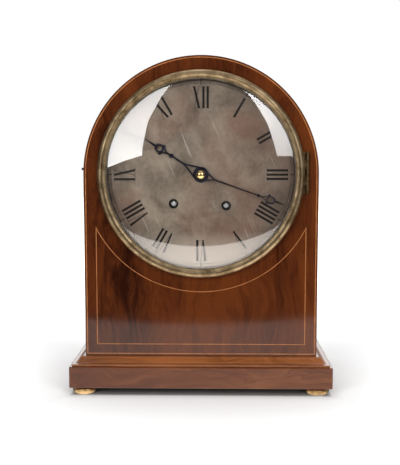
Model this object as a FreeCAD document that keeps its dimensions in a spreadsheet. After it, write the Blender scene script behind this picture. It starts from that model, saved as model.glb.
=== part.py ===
"""Bracket clock: an arched mahogany case on brass feet, a round dial behind a hinged brass bezel,
and an eight-day movement that strikes a bell. Millimetres, +Z up, the dial faces -Y, and the
origin is the middle of the footprint on the surface that the clock stands on."""

import FreeCAD, Part
import Sketcher
import math
import os
import re

V = FreeCAD.Vector

SIZES = {
    # case
    "case_width": 250, "case_depth": 148, "wall_height": 204.7,
    "board_thick": 10, "shell_thick": 10,
    # plinth, the moulding that hides its joint with the case, and the feet
    "plinth_height": 23, "plinth_side_lip": 15.75, "plinth_front_lip": 16, "plinth_back_lip": 8,
    "plinth_round": 0.8,
    "mould_height": 9, "mould_depth": 13, "mould_fillet": 2.2, "mould_ledge": 2.4, "mould_top": 1.2,
    "foot_height": 8, "foot_radius": 13.5, "foot_neck": 10, "foot_inset": 15,
    "stud_radius": 2.5, "stud_length": 12, "stud_gap": 0.1,
    # boxwood lines let into the front
    "edge_line_inset": 1.6, "edge_line_width": 1.5, "panel_line_width": 1.1, "line_depth": 0.6,
    "panel_half": 112, "panel_base": 21.75, "panel_arc": 125.6,
    # dial
    "dial_radius": 101.8, "dial_thick": 1.6, "dial_setback": 4, "dial_gap": 0.4,
    "centre_hole": 4.2, "winding_hole": 5,
    # bezel and its domed glass
    "bezel_width": 9.2, "bezel_height": 9, "bezel_gap": 0.3, "bezel_round": 4.4,
    "bezel_quirk": 0.8, "bezel_hollow": 6, "lip_top": 5.6, "lip_width": 1.1,
    "sight_lap": 1.3, "seat_height": 4, "glass_lap": 1.4, "glass_gap": 0.1,
    "glass_flange": 1.6, "glass_thick": 2, "glass_rise": 11, "ring_show": 0.7,
    # bezel hinge
    "hinge_length": 42.8, "hinge_lift": 2.2, "hinge_stand": 3.1, "knuckle_radius": 1.7,
    "knuckle_gap": 0.2, "pin_radius": 0.8, "pin_head": 1.2, "leaf_thick": 1.2, "leaf_reach": 9,
    # back door, its hinges and its catch
    "door_half": 92, "door_base": 34, "door_gap": 0.8, "door_rail": 20, "door_rebate": 4,
    "door_lip": 4, "pane_thick": 2, "pane_gap": 0.2,
    "butt_length": 24, "butt_radius": 1.8, "butt_stand": 2, "butt_leaf": 1, "butt_reach": 14,
    "butt_low": 60, "butt_high": 190,
    "catch_shaft": 2, "catch_knob": 6, "catch_knob_thick": 4, "catch_tongue": 16,
    "catch_drop": 40, "catch_wide": 4, "catch_thick": 1.6, "catch_clear": 0.4,
    # movement frame
    "motion_space": 16.4, "plate_thick": 3, "plate_gap": 62, "plate_half": 68,
    "plate_top": 70, "plate_bottom": 66, "pillar_radius": 4, "pillar_inset": 8,
    "pillar_tenon": 2.2, "pillar_thread": 1.8, "nut_radius": 4, "nut_thick": 3,
    "seat_thick": 12, "seat_screw": 2, "seat_head": 4.5, "dial_foot": 2.2,
    "dial_foot_across": 56, "dial_foot_up": 52,
    "pivot_radius": 0.8, "running_gap": 0.1, "end_shake": 0.3,
    # winding arbors
    "time_across": 27, "time_drop": 33, "strike_across": 29.2, "strike_drop": 31,
    "winding_radius": 2, "winding_square": 4.4, "square_length": 8, "square_recess": 2.5,
    "drum_inset": 0.998, "drum_length": 29.5, "ratchet_radius": 9, "ratchet_teeth": 20,
    "ratchet_thick": 2, "ratchet_stand": 1, "click_clear": 0.35,
    # toothing, in shares of the module
    "tooth_addendum": 0.8, "tooth_dedendum": 1.2, "tooth_root": 1.6, "tooth_tip": 0.7,
    "wheel_thick": 1.2, "pinion_length": 3.6, "arbor_radius": 1.1,
    # hands
    "hand_thick": 0.9, "hour_short": 31.3, "hour_angle": 302.5, "hour_lift": 2.3,
    "minute_short": 5.8, "minute_angle": 109.8, "minute_lift": 4.9,
    "hour_fork": 22, "hour_bead": 33.5, "hour_loop": 18.8,
    "minute_fork": 16, "minute_bead": 31.3, "minute_loop": 17.5,
    "hour_boss": 8.3, "minute_boss": 7, "loop_radius": 4.8, "loop_wire": 1.7, "hand_cap": 4.9,
    "cannon_radius": 2.2, "hour_pipe": 3.3, "pipe_gap": 0.1,
    # bell and hammer
    "bell_radius": 34, "bell_height": 24, "bell_wall": 2.5, "bell_clear": 3, "bell_depth": 31,
    "bridge_wide": 10, "bridge_thick": 3, "post_radius": 2.5,
    "hammer_across": 60, "hammer_up": 10, "hammer_gap": 1, "hammer_head": 4.5,
    # escapement and pendulum
    "swing_up": 56.8, "cock_stand": 6, "cock_thick": 3, "pendulum_stand": 13,
    "pendulum_length": 205, "rod_radius": 1.2, "bob_radius": 22, "bob_thick": 12,
    "rating_radius": 5, "rating_thick": 4, "crutch_length": 46, "crutch_slot": 1.5,
    "pallet_gap": 1,
    # strike/silent lever at the left side
    "lever_inset": 17, "lever_lift": 5, "lever_depth": 60, "lever_out": 11.5,
    "lever_radius": 0.9, "lever_head": 1.5, "lever_head_length": 5, "lever_pin": 1,
    "slot_wide": 3, "slot_tall": 9,
}

WHEELS = {
    # teeth and modules of the two trains and the motion work
    "great_teeth": 84, "great_module": 0.619,
    "inter_teeth": 64, "inter_module": 0.65,
    "centre_teeth": 96, "centre_module": 0.45,
    "third_teeth": 88, "third_module": 0.4,
    "escape_teeth": 30, "escape_radius": 14,
    "strike_pin_teeth": 72, "strike_pin_module": 0.45,
    "gather_teeth": 64, "gather_module": 0.45,
    "leaves": 8,
    "cannon_teeth": 20, "minute_teeth": 60, "minute_module": 0.4,
    "hour_leaves": 12, "hour_teeth": 48,
    # how far behind the front plate each wheel runs
    "great_deep": 4, "great_thick": 2.5, "inter_deep": 41, "pin_deep": 47, "third_deep": 47.5,
    "centre_deep": 53, "escape_deep": 57, "fly_deep": 10, "fly_length": 26, "fly_radius": 11,
    # directions in which the arbors follow one another, in degrees from +X
    "third_angle": 63.3, "pin_angle": 100, "gather_angle": 80, "fly_angle": 75, "motion_angle": -90,
}

doc = FreeCAD.newDocument("bracket_clock")
sheet = doc.addObject("Spreadsheet::Sheet", "sizes")
pieces = []
names = set()


def keep(name, number):
    """Write one size into the sheet under its own name."""
    row = len(names) + 1
    sheet.set(f"A{row}", name.replace("_", " "))
    sheet.set(f"B{row}", repr(number))
    sheet.setAlias(f"B{row}", name)
    names.add(name)


def cell(formula):
    """The same formula with each size's name pointed at its cell."""
    return re.sub(r"[a-z_]+", lambda word: f"sizes.{word.group()}" if word.group() in names
                  else word.group(), formula)


def value(formula):
    """What a formula comes to with the present sizes."""
    return float(sheet.evalExpression(cell(formula)))


def bind(item, field, formula):
    """Tie one property to a formula of sizes."""
    item.setExpression(field, cell(formula))


def place(item, across="0", along="0", up="0", turn=None):
    """Put an item at a place given by formulas, turned first if turn is given."""
    if turn is not None:
        item.Placement = FreeCAD.Placement(V(0, 0, 0), turn)
    for axis, formula in (("x", across), ("y", along), ("z", up)):
        if formula != "0":
            bind(item, f"Placement.Base.{axis}", formula)
    return item


def finish(item, label):
    """Name a sub-part and put it on the list of those that are written."""
    item.Label = label
    pieces.append(item)
    return item


for size_name, size_number in list(SIZES.items()) + list(WHEELS.items()):
    keep(size_name, size_number)
doc.recompute()

UPRIGHT = FreeCAD.Rotation()
FACING = FreeCAD.Rotation(V(1, 0, 0), 90)       # a piece's own +Z turned towards the viewer
TURNED = FreeCAD.Rotation(V(0, 0, 1), 180)      # a piece's own +Y turned towards the viewer

# places that several pieces share
PLINTH_TOP = "(foot_height + plinth_height)"
HUB = "(foot_height + plinth_height + wall_height)"
CASE_HALF = "(case_width / 2)"
PLINTH_HALF = "(case_width / 2 + plinth_side_lip)"
PLINTH_DEEP = "(case_depth + plinth_front_lip + plinth_back_lip)"
CASE_FRONT = "((plinth_front_lip - plinth_back_lip - case_depth) / 2)"
CASE_BACK = "((plinth_front_lip - plinth_back_lip + case_depth) / 2)"
DIAL_FRONT = f"({CASE_FRONT} + dial_setback)"
DIAL_BACK = f"({CASE_FRONT} + dial_setback + dial_thick)"
SIGHT = "(dial_radius - sight_lap)"
BEZEL_OUT = "(dial_radius - sight_lap + bezel_width)"
FRONT_PLATE = f"({DIAL_BACK} + motion_space)"
FRAME_IN = f"({DIAL_BACK} + motion_space + plate_thick)"
BACK_PLATE = f"({FRAME_IN} + plate_gap)"
FRAME_OUT = f"({BACK_PLATE} + plate_thick)"
PIVOT_HOLE = "(pivot_radius + running_gap)"


# ---------------------------------------------------------------- sketches and solids

def body(label):
    """A new body, which is one sub-part."""
    return finish(doc.addObject("PartDesign::Body", label), label)


def sketch_on(item, role, lift="0"):
    """A sketch on one of the body's own planes, lifted along the plane's normal."""
    plane = next(one for one in item.Origin.OriginFeatures if one.Role == role)
    sketch = item.newObject("Sketcher::SketchObject", item.Name + "_sketch")
    sketch.AttachmentSupport = [(plane, "")]
    sketch.MapMode = "FlatFace"
    if lift != "0":
        bind(sketch, "AttachmentOffset.Base.z", lift)
    return sketch


def pin_point(sketch, edge, end, across, up):
    """Fix one point of a sketch at a place given by formulas."""
    for kind, formula, axis in (("DistanceX", across, -2), ("DistanceY", up, -1)):
        if formula == "0":
            sketch.addConstraint(Sketcher.Constraint("PointOnObject", edge, end, axis))
        else:
            number = sketch.addConstraint(
                Sketcher.Constraint(kind, -1, 1, edge, end, value(formula)))
            bind(sketch, f"Constraints[{number}]", formula)


def outline(sketch, corners):
    """Draw one closed outline. A corner is (across, up), or (across, up, radius, side) where the
    stretch that starts there is an arc whose centre lies on that side of the way along it."""
    points = [V(value(corner[0]), value(corner[1]), 0) for corner in corners]
    ends = []
    for index, corner in enumerate(corners):
        here, there = points[index], points[(index + 1) % len(points)]
        if len(corner) == 2:
            edge = sketch.addGeometry(Part.LineSegment(here, there), False)
            ends.append((edge, 1, 2))
            continue
        radius = value(corner[2])
        half = (there - here) / 2
        left = V(-half.y, half.x, 0).normalize()
        reach = math.sqrt(max(radius ** 2 - half.Length ** 2, 0))
        centre = here + half + left * (reach if corner[3] == "left" else -reach)
        first, last = (here, there) if corner[3] == "left" else (there, here)
        start, stop = (math.atan2(p.y - centre.y, p.x - centre.x) for p in (first, last))
        edge = sketch.addGeometry(Part.ArcOfCircle(Part.Circle(centre, V(0, 0, 1), radius),
                                                   start, stop), False)
        ends.append((edge, 1, 2) if corner[3] == "left" else (edge, 2, 1))
        number = sketch.addConstraint(Sketcher.Constraint("Radius", edge, radius))
        bind(sketch, f"Constraints[{number}]", corner[2])
    for index, (edge, _, tail) in enumerate(ends):
        after, head, _ = ends[(index + 1) % len(ends)]
        sketch.addConstraint(Sketcher.Constraint("Coincident", edge, tail, after, head))
    for (edge, head, _), corner in zip(ends, corners):
        pin_point(sketch, edge, head, corner[0], corner[1])


def rectangle(sketch, left, right, bottom, top):
    """Draw a rectangle between four formulas."""
    outline(sketch, [(left, bottom), (right, bottom), (right, top), (left, top)])


def circle(sketch, radius, across="0", up="0"):
    """Draw a circle."""
    centre = V(value(across), value(up), 0)
    edge = sketch.addGeometry(Part.Circle(centre, V(0, 0, 1), value(radius)), False)
    number = sketch.addConstraint(Sketcher.Constraint("Radius", edge, value(radius)))
    bind(sketch, f"Constraints[{number}]", radius)
    pin_point(sketch, edge, 3, across, up)


def arch(sketch, half, bottom, centre):
    """Draw an arched outline: a level sill, two upright sides and a half round."""
    outline(sketch, [(f"-({half})", bottom), (half, bottom), (half, centre, half, "left"),
                     ("0", f"{centre} + {half}", half, "left"), (f"-({half})", centre)])


def pad(item, sketch, length):
    """Raise a sketch into a solid along its normal."""
    feature = item.newObject("PartDesign::Pad", item.Name + "_pad")
    feature.Profile = sketch
    bind(feature, "Length", length)
    return feature


def pocket(item, sketch, depth):
    """Sink a sketch into the solid against its normal."""
    feature = item.newObject("PartDesign::Pocket", item.Name + "_pocket")
    feature.Profile = sketch
    bind(feature, "Length", depth)
    return feature


def revolve(item, sketch, axis):
    """Turn a sketch about one of its own axes."""
    feature = item.newObject("PartDesign::Revolution", item.Name + "_turning")
    feature.Profile = sketch
    feature.ReferenceAxis = (sketch, [axis])
    feature.Angle = 360
    return feature


def turned(label, corners, across, along, up):
    """A piece turned about a line that points at the viewer: corners are (towards, radius)."""
    item = body(label)
    sketch = sketch_on(item, "YZ_Plane")
    outline(sketch, corners)
    revolve(item, sketch, "H_Axis")
    return place(item, across, along, up, TURNED)


def box(size, corner):
    """A box from its size and its lowest corner, all formulas."""
    item = doc.addObject("Part::Box", "box")
    for field, formula in zip(("Length", "Width", "Height"), size):
        bind(item, field, formula)
    return place(item, *corner)


def cylinder(radius, length, base, turn=UPRIGHT):
    """A cylinder from its radius, its length and the middle of its base, all formulas."""
    item = doc.addObject("Part::Cylinder", "cylinder")
    bind(item, "Radius", radius)
    bind(item, "Height", length)
    return place(item, *base, turn=turn)


def joined(parts):
    """Several solids fused, or left as a group where they are apart."""
    item = doc.addObject("Part::MultiFuse", "joined")
    item.Shapes = parts
    item.Refine = True
    return item


def less(base, tool):
    """One solid cut by another."""
    item = doc.addObject("Part::Cut", "less")
    item.Base = base
    item.Tool = tool
    item.Refine = True
    return item


def shaped(label, shape, across, along, up, turn=FACING):
    """A sub-part whose shape is worked out here, put in its place."""
    item = finish(doc.addObject("Part::Feature", label), label)
    item.Shape = shape
    return place(item, across, along, up, turn)


BACKWARD = FreeCAD.Rotation(V(1, 0, 0), -90)    # a cylinder's length runs away from the viewer
LEFTWARD = FreeCAD.Rotation(V(0, 1, 0), -90)    # a cylinder's length runs to the left


# ---------------------------------------------------------------- case

def make_plinth():
    """The solid board that carries the case, with its top and foot arrises rubbed round."""
    item = body("plinth")
    sketch = sketch_on(item, "XY_Plane")
    rectangle(sketch, f"-{PLINTH_HALF}", PLINTH_HALF, f"-{PLINTH_DEEP} / 2", f"{PLINTH_DEEP} / 2")
    block = pad(item, sketch, "plinth_height")
    doc.recompute()
    arrises = [f"Edge{number + 1}" for number, edge in enumerate(block.Shape.Edges)]
    rounding = item.newObject("PartDesign::Fillet", "plinth_rounding")
    rounding.Base = (block, arrises)
    bind(rounding, "Radius", "plinth_round")
    doc.recompute()
    holes = sketch_on(item, "XY_Plane", "stud_length")
    for across, along in FEET.values():
        circle(holes, "stud_radius + stud_gap", across, along)
    pocket(item, holes, "stud_length")
    place(item, "0", "0", "foot_height")


FOOT_OUT = f"({PLINTH_HALF} - foot_inset)"
FOOT_DEEP = f"({PLINTH_DEEP} / 2 - foot_inset)"
FEET = {
    "foot_front_left": (f"-{FOOT_OUT}", f"-{FOOT_DEEP}"),
    "foot_front_right": (FOOT_OUT, f"-{FOOT_DEEP}"),
    "foot_back_left": (f"-{FOOT_OUT}", FOOT_DEEP),
    "foot_back_right": (FOOT_OUT, FOOT_DEEP),
}


def make_feet():
    """Four flattened brass buns, each with the stud that is driven up into the plinth."""
    bulge = "(foot_radius - foot_neck)"
    girth = "(foot_height - 0.8)"
    for label, (across, along) in FEET.items():
        item = body(label)
        sketch = sketch_on(item, "XZ_Plane")
        outline(sketch, [
            ("0", "0"),
            ("foot_neck", "0", f"({girth}^2 / 4 + {bulge}^2) / (2 * {bulge})", "left"),
            ("foot_neck", girth),
            ("foot_neck", "foot_height"),
            ("stud_radius", "foot_height"),
            ("stud_radius", "foot_height + stud_length - 0.5"),
            ("0", "foot_height + stud_length - 0.5"),
        ])
        revolve(item, sketch, "V_Axis")
        place(item, across, along, "0")


def make_base_moulding():
    """An ogee mitred round the front and both sides of the case, on top of the plinth."""
    item = body("base_moulding")
    path = sketch_on(item, "XY_Plane")
    corners = [(f"-{CASE_HALF}", "0"), (f"-{CASE_HALF}", "-case_depth"),
               (CASE_HALF, "-case_depth"), (CASE_HALF, "0")]
    for index in range(3):
        path.addGeometry(Part.LineSegment(
            V(value(corners[index][0]), value(corners[index][1]), 0),
            V(value(corners[index + 1][0]), value(corners[index + 1][1]), 0)), False)
        pin_point(path, index, 1, *corners[index])
    for index in range(2):
        path.addConstraint(Sketcher.Constraint("Coincident", index, 2, index + 1, 1))
    pin_point(path, 2, 2, *corners[3])
    profile = sketch_on(item, "XZ_Plane")
    wall = f"-{CASE_HALF}"
    middle = ("(mould_depth - mould_ledge + mould_top) / 2", "(mould_fillet + mould_height) / 2")
    outline(profile, [
        (wall, "0"),
        (wall, "mould_height"),
        (f"{wall} - mould_top", "mould_height", "mould_height * 0.5", "right"),
        (f"{wall} - {middle[0]}", middle[1], "mould_height * 0.5", "left"),
        (f"{wall} - mould_depth + mould_ledge", "mould_fillet"),
        (f"{wall} - mould_depth", "mould_fillet"),
        (f"{wall} - mould_depth", "0"),
    ])
    sweep = item.newObject("PartDesign::AdditivePipe", "base_moulding_sweep")
    sweep.Profile = profile
    sweep.Spine = (path, ["Edge1", "Edge2", "Edge3"])
    sweep.Transition = "Right corner"
    place(item, "0", CASE_BACK, PLINTH_TOP)


def edge_line(sketch, side):
    """One side of the line round the edge: side is its distance in from the case's outline."""
    arch(sketch, f"({CASE_HALF} - {side})", f"mould_height + {side}", "wall_height")


def panel_line(sketch, side):
    """One side of the panel's line: side is how far it lies outside the line's middle."""
    half = f"(panel_half + {side})"
    radius = f"(panel_arc - {side})"
    shoulder = f"(wall_height - sqrt({radius}^2 - {half}^2))"
    outline(sketch, [(f"-{half}", f"panel_base - {side}"), (half, f"panel_base - {side}"),
                     (half, shoulder, radius, "right"), ("0", f"wall_height - {radius}", radius, "right"),
                     (f"-{half}", shoulder)])


def draw_edge_line(sketch):
    """Both sides of the boxwood line that runs round the edge of the front."""
    edge_line(sketch, "edge_line_inset")
    edge_line(sketch, "(edge_line_inset + edge_line_width)")


def draw_panel_line(sketch):
    """Both sides of the boxwood line that frames the panel under the dial."""
    panel_line(sketch, "panel_line_width / 2")
    panel_line(sketch, "-panel_line_width / 2")


def make_front_board():
    """The arched front with the hole for the dial, the grooves for its lines and a hinge recess."""
    item = body("front_board")
    sketch = sketch_on(item, "XZ_Plane")
    arch(sketch, CASE_HALF, "0", "wall_height")
    circle(sketch, "dial_radius + dial_gap", "0", "wall_height")
    pad(item, sketch, "board_thick")
    for draw in (draw_edge_line, draw_panel_line):
        groove = sketch_on(item, "XZ_Plane", "board_thick")
        draw(groove)
        pocket(item, groove, "line_depth")
    recess = sketch_on(item, "XZ_Plane", "board_thick")
    rectangle(recess, f"{HINGE_ACROSS} - leaf_reach", f"{HINGE_ACROSS} + knuckle_radius",
              "wall_height + hinge_lift - hinge_length / 2",
              "wall_height + hinge_lift + hinge_length / 2")
    pocket(item, recess, "leaf_thick")
    place(item, "0", f"{CASE_FRONT} + board_thick", PLINTH_TOP)


def make_lines():
    """The two boxwood lines, flush with the front."""
    for label, draw in (("edge_stringing", draw_edge_line), ("panel_stringing", draw_panel_line)):
        item = body(label)
        sketch = sketch_on(item, "XZ_Plane")
        draw(sketch)
        pad(item, sketch, "line_depth")
        place(item, "0", f"{CASE_FRONT} + line_depth", PLINTH_TOP)


def make_case_shell():
    """The bent sides and arch between the front and back boards, with the lever's slot."""
    item = body("case_shell")
    sketch = sketch_on(item, "XZ_Plane")
    inner = f"({CASE_HALF} - shell_thick)"
    outline(sketch, [
        (CASE_HALF, "0"), (CASE_HALF, "wall_height", CASE_HALF, "left"),
        ("0", f"wall_height + {CASE_HALF}", CASE_HALF, "left"), (f"-{CASE_HALF}", "wall_height"),
        (f"-{CASE_HALF}", "0"), (f"-{inner}", "0"), (f"-{inner}", "wall_height", inner, "right"),
        ("0", f"wall_height + {inner}", inner, "right"), (inner, "wall_height"), (inner, "0")])
    pad(item, sketch, "case_depth - 2 * board_thick")
    slot = sketch_on(item, "YZ_Plane", f"-{CASE_HALF} + shell_thick + 1")
    middle = "(lever_depth - case_depth + board_thick)"
    rectangle(slot, f"{middle} - slot_wide / 2", f"{middle} + slot_wide / 2",
              "wall_height + lever_lift - slot_tall / 2", "wall_height + lever_lift + slot_tall / 2")
    pocket(item, slot, "shell_thick + 2")
    place(item, "0", f"{CASE_BACK} - board_thick", PLINTH_TOP)


def make_back_board():
    """The arched back with the doorway."""
    item = body("back_board")
    sketch = sketch_on(item, "XZ_Plane")
    arch(sketch, CASE_HALF, "0", "wall_height")
    arch(sketch, "door_half", "door_base", "wall_height")
    pad(item, sketch, "board_thick")
    place(item, "0", CASE_BACK, PLINTH_TOP)


# ---------------------------------------------------------------- dial and bezel

def make_dial():
    """The round dial plate with its winding holes, and the four feet that hold it off the movement."""
    item = body("dial_plate")
    sketch = sketch_on(item, "XZ_Plane")
    circle(sketch, "dial_radius")
    circle(sketch, "centre_hole")
    circle(sketch, "winding_hole", "time_across", "-time_drop")
    circle(sketch, "winding_hole", "-strike_across", "-strike_drop")
    pad(item, sketch, "dial_thick")
    place(item, "0", DIAL_BACK, HUB)
    feet = [cylinder("dial_foot", "motion_space",
                     (f"{side} * dial_foot_across", DIAL_BACK, f"{HUB} + {rise} * dial_foot_up"),
                     BACKWARD) for side in (-1, 1) for rise in (-1, 1)]
    finish(joined(feet), "dial_feet")


GLASS_RADIUS = f"({SIGHT} + glass_lap)"
DOME = f"({SIGHT} + glass_lap - glass_flange)"
DOME_CURVE = f"(({DOME}^2 + glass_rise^2) / (2 * glass_rise))"


def make_bezel():
    """The turned brass ring, the domed glass in its seat and the ring that keeps the glass in."""
    crest = f"({BEZEL_OUT} - bezel_round)"
    turned("bezel_ring", [
        ("bezel_gap", BEZEL_OUT),
        ("bezel_height - bezel_round", BEZEL_OUT, "bezel_round", "right"),
        ("bezel_height", crest),
        ("bezel_height - bezel_quirk", crest, "bezel_hollow", "left"),
        ("lip_top", f"{SIGHT} + lip_width"),
        ("lip_top", SIGHT),
        ("seat_height", SIGHT),
        ("seat_height", f"{GLASS_RADIUS} + glass_gap"),
        ("bezel_gap", f"{GLASS_RADIUS} + glass_gap"),
    ], "0", CASE_FRONT, HUB)
    turned("bezel_glass", [
        ("seat_height - glass_thick", GLASS_RADIUS),
        ("seat_height", GLASS_RADIUS),
        ("seat_height", DOME, DOME_CURVE, "right"),
        ("seat_height + glass_rise", "0"),
        ("seat_height + glass_rise - glass_thick", "0", DOME_CURVE, "left"),
        ("seat_height - glass_thick", DOME),
    ], "0", CASE_FRONT, HUB)
    turned("glass_ring", [
        ("bezel_gap", f"{SIGHT} - ring_show"),
        ("bezel_gap", f"{GLASS_RADIUS} + glass_gap"),
        ("seat_height - glass_thick", f"{GLASS_RADIUS} + glass_gap"),
        ("seat_height - glass_thick", f"{SIGHT} - ring_show"),
    ], "0", CASE_FRONT, HUB)


HINGE_ACROSS = f"({BEZEL_OUT} + hinge_stand)"
HINGE_ALONG = f"({CASE_FRONT} - knuckle_radius - 0.5)"
HINGE_BASE = f"({HUB} + hinge_lift - hinge_length / 2)"
KNUCKLE = "((hinge_length - 4 * knuckle_gap) / 5)"


def knuckle_up(number):
    """Height of a knuckle's lower end, counted from 0 at the bottom of the bezel's hinge."""
    return f"{HINGE_BASE} + {number} * ({KNUCKLE} + knuckle_gap)"


def make_bezel_hinge():
    """A plate let into the front with three knuckles, the bezel's two knuckles and the pin."""
    axis = (HINGE_ACROSS, HINGE_ALONG)
    plate = [box(("leaf_reach + knuckle_radius", "leaf_thick", "hinge_length"),
                 (f"{HINGE_ACROSS} - leaf_reach", CASE_FRONT, HINGE_BASE))]
    for number in (0, 2, 4):
        up = knuckle_up(number)
        plate.append(cylinder("knuckle_radius", KNUCKLE, (*axis, up)))
        plate.append(box(("2 * pin_radius", f"{CASE_FRONT} - {HINGE_ALONG}", KNUCKLE),
                         (f"{HINGE_ACROSS} - pin_radius", HINGE_ALONG, up)))
    bore = cylinder("pin_radius", "hinge_length", (*axis, HINGE_BASE))
    finish(less(joined(plate), bore), "bezel_hinge_plate")
    leaf = []
    for number in (1, 3):
        up = knuckle_up(number)
        leaf.append(cylinder("knuckle_radius", KNUCKLE, (*axis, up)))
        leaf.append(box(("hinge_stand + 2", "knuckle_radius", KNUCKLE),
                        (f"{HINGE_ACROSS} - hinge_stand - 2", f"{HINGE_ALONG} - knuckle_radius / 2", up)))
    ring = cylinder(BEZEL_OUT, "2 * bezel_height", ("0", f"{CASE_FRONT} - 2 * bezel_height", HUB),
                    BACKWARD)
    wide_bore = cylinder("pin_radius + running_gap", "hinge_length", (*axis, HINGE_BASE))
    finish(less(joined(leaf), joined([ring, wide_bore])), "bezel_hinge_leaf")
    pin = [cylinder("pin_radius", "hinge_length", (*axis, HINGE_BASE)),
           cylinder("pin_head", "pin_radius", (*axis, f"{HINGE_BASE} + hinge_length")),
           cylinder("pin_head", "pin_radius", (*axis, f"{HINGE_BASE} - pin_radius"))]
    finish(joined(pin), "bezel_hinge_pin")


# ---------------------------------------------------------------- back door

DOOR_OUT = "(door_half - door_gap)"
PANE_HALF = "(door_half - door_gap - door_rail + door_rebate)"
BUTT_ACROSS = "(door_half - door_gap / 2)"
BUTT_ALONG = f"({CASE_BACK} + butt_stand)"
BUTT_KNUCKLE = "((butt_length - 2 * knuckle_gap) / 3)"
CATCH_ACROSS = "(door_rail / 2 - door_half + door_gap)"
CATCH_UP = "(wall_height - catch_drop)"


def make_back_door():
    """A framed door with one pane in a rebate."""
    item = body("door_frame")
    sketch = sketch_on(item, "XZ_Plane")
    arch(sketch, DOOR_OUT, "door_base + door_gap", "wall_height")
    arch(sketch, f"({DOOR_OUT} - door_rail)", "door_base + door_gap + door_rail", "wall_height")
    circle(sketch, "catch_shaft + running_gap", CATCH_ACROSS, CATCH_UP)
    pad(item, sketch, "board_thick")
    rebate = sketch_on(item, "XZ_Plane", "board_thick")
    arch(rebate, PANE_HALF, "door_base + door_gap + door_rail - door_rebate", "wall_height")
    pocket(item, rebate, "board_thick - door_lip")
    place(item, "0", CASE_BACK, PLINTH_TOP)
    pane = body("door_glass")
    sketch = sketch_on(pane, "XZ_Plane")
    arch(sketch, f"({PANE_HALF} - pane_gap)",
         "door_base + door_gap + door_rail - door_rebate + pane_gap", "wall_height")
    pad(pane, sketch, "pane_thick")
    place(pane, "0", f"{CASE_BACK} - door_lip", PLINTH_TOP)


def butt_side(low, side, knuckles):
    """One leaf of a butt hinge on the outside of the back, with the webs to its knuckles."""
    start = "(butt_radius + 0.2)"
    reach = f"(butt_reach - {start})"
    left = f"{BUTT_ACROSS} + {start}" if side > 0 else f"{BUTT_ACROSS} - butt_reach"
    parts = [box((reach, "butt_leaf", "butt_length"), (left, CASE_BACK, low))]
    for number in knuckles:
        up = f"{low} + {number} * ({BUTT_KNUCKLE} + knuckle_gap)"
        parts.append(cylinder("butt_radius", BUTT_KNUCKLE, (BUTT_ACROSS, BUTT_ALONG, up)))
        edge = BUTT_ACROSS if side > 0 else f"{BUTT_ACROSS} - {start}"
        parts.append(box((start, "butt_leaf", BUTT_KNUCKLE), (edge, CASE_BACK, up)))
    return parts


def make_door_hinges():
    """Two butt hinges: the plates on the back board carry the pins, the flaps turn with the door."""
    plates, flaps, bores = [], [], []
    for height in ("butt_low", "butt_high"):
        low = f"({PLINTH_TOP} + {height})"
        plates += butt_side(low, 1, (0, 2))
        plates.append(cylinder("pin_radius", "butt_length", (BUTT_ACROSS, BUTT_ALONG, low)))
        flaps += butt_side(low, -1, (1,))
        bores.append(cylinder("pin_radius + running_gap", "butt_length", (BUTT_ACROSS, BUTT_ALONG, low)))
    finish(joined(plates), "door_hinge_plates")
    finish(less(joined(flaps), joined(bores)), "door_hinge_flaps")


def make_door_catch():
    """A brass knob whose shaft turns the tongue that holds the door shut."""
    up = f"{PLINTH_TOP} + {CATCH_UP}"
    back = f"{CASE_BACK} - board_thick - catch_clear - catch_thick"
    shaft = cylinder("catch_shaft", "board_thick + catch_clear + catch_thick + 0.4",
                     (CATCH_ACROSS, back, up), BACKWARD)
    collar = cylinder("catch_knob / 2", "1", (CATCH_ACROSS, f"{CASE_BACK} + 0.4", up), BACKWARD)
    knob = cylinder("catch_knob", "catch_knob_thick", (CATCH_ACROSS, f"{CASE_BACK} + 1.4", up), BACKWARD)
    tongue = box(("catch_wide", "catch_thick", "catch_tongue"),
                 (f"{CATCH_ACROSS} - catch_wide / 2", back, f"{up} - catch_wide / 2"))
    rounding = doc.addObject("Part::Fillet", "knob_rounding")
    rounding.Base = knob
    doc.recompute()
    rounding.Edges = [(1, 1.2, 1.2), (3, 1.2, 1.2)]
    finish(joined([shaft, collar, rounding, tongue]), "door_catch")


# ---------------------------------------------------------------- wheels and arbors

def gear(teeth, module, thick, aim, tooth=True):
    """A disc with straight-sided teeth, its thickness along +Z. A tooth, or the gap between two,
    points in the direction aim, in degrees."""
    root = module * (teeth / 2 - value("tooth_dedendum"))
    tip = module * (teeth / 2 + value("tooth_addendum"))
    step = 2 * math.pi / teeth
    half_root = value("tooth_root") * module / 2 / root
    half_tip = value("tooth_tip") * module / 2 / tip
    start = math.radians(aim) + (0 if tooth else step / 2)
    corners = []
    for count in range(int(teeth)):
        middle = start + count * step
        for radius, turn in ((root, -half_root), (tip, -half_tip), (tip, half_tip), (root, half_root)):
            corners.append(V(radius * math.cos(middle + turn), radius * math.sin(middle + turn), 0))
    corners.append(corners[0])
    return Part.Face(Part.makePolygon(corners)).extrude(V(0, 0, thick))


def at_depth(shape, deep):
    """A shape whose base is at z = 0, moved back behind the front plate so that its front is at deep."""
    shape.translate(V(0, 0, -deep - shape.BoundBox.ZLength))
    return shape


def crossed(wheel, rim, hub, arm, arms=4):
    """A wheel with the openings between its arms cut out, from the hub's radius to the rim's."""
    low, thick = wheel.BoundBox.ZMin - 1, wheel.BoundBox.ZLength + 2
    opening = Part.makeCylinder(rim, thick, V(0, 0, low)).cut(Part.makeCylinder(hub, thick, V(0, 0, low)))
    for count in range(arms // 2):
        bar = Part.makeBox(2 * rim + 2, arm, thick, V(-rim - 1, -arm / 2, low))
        bar.rotate(V(0, 0, 0), V(0, 0, 1), 45 + 180 / arms * 2 * count)
        opening = opening.cut(bar)
    return wheel.cut(opening)


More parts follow.
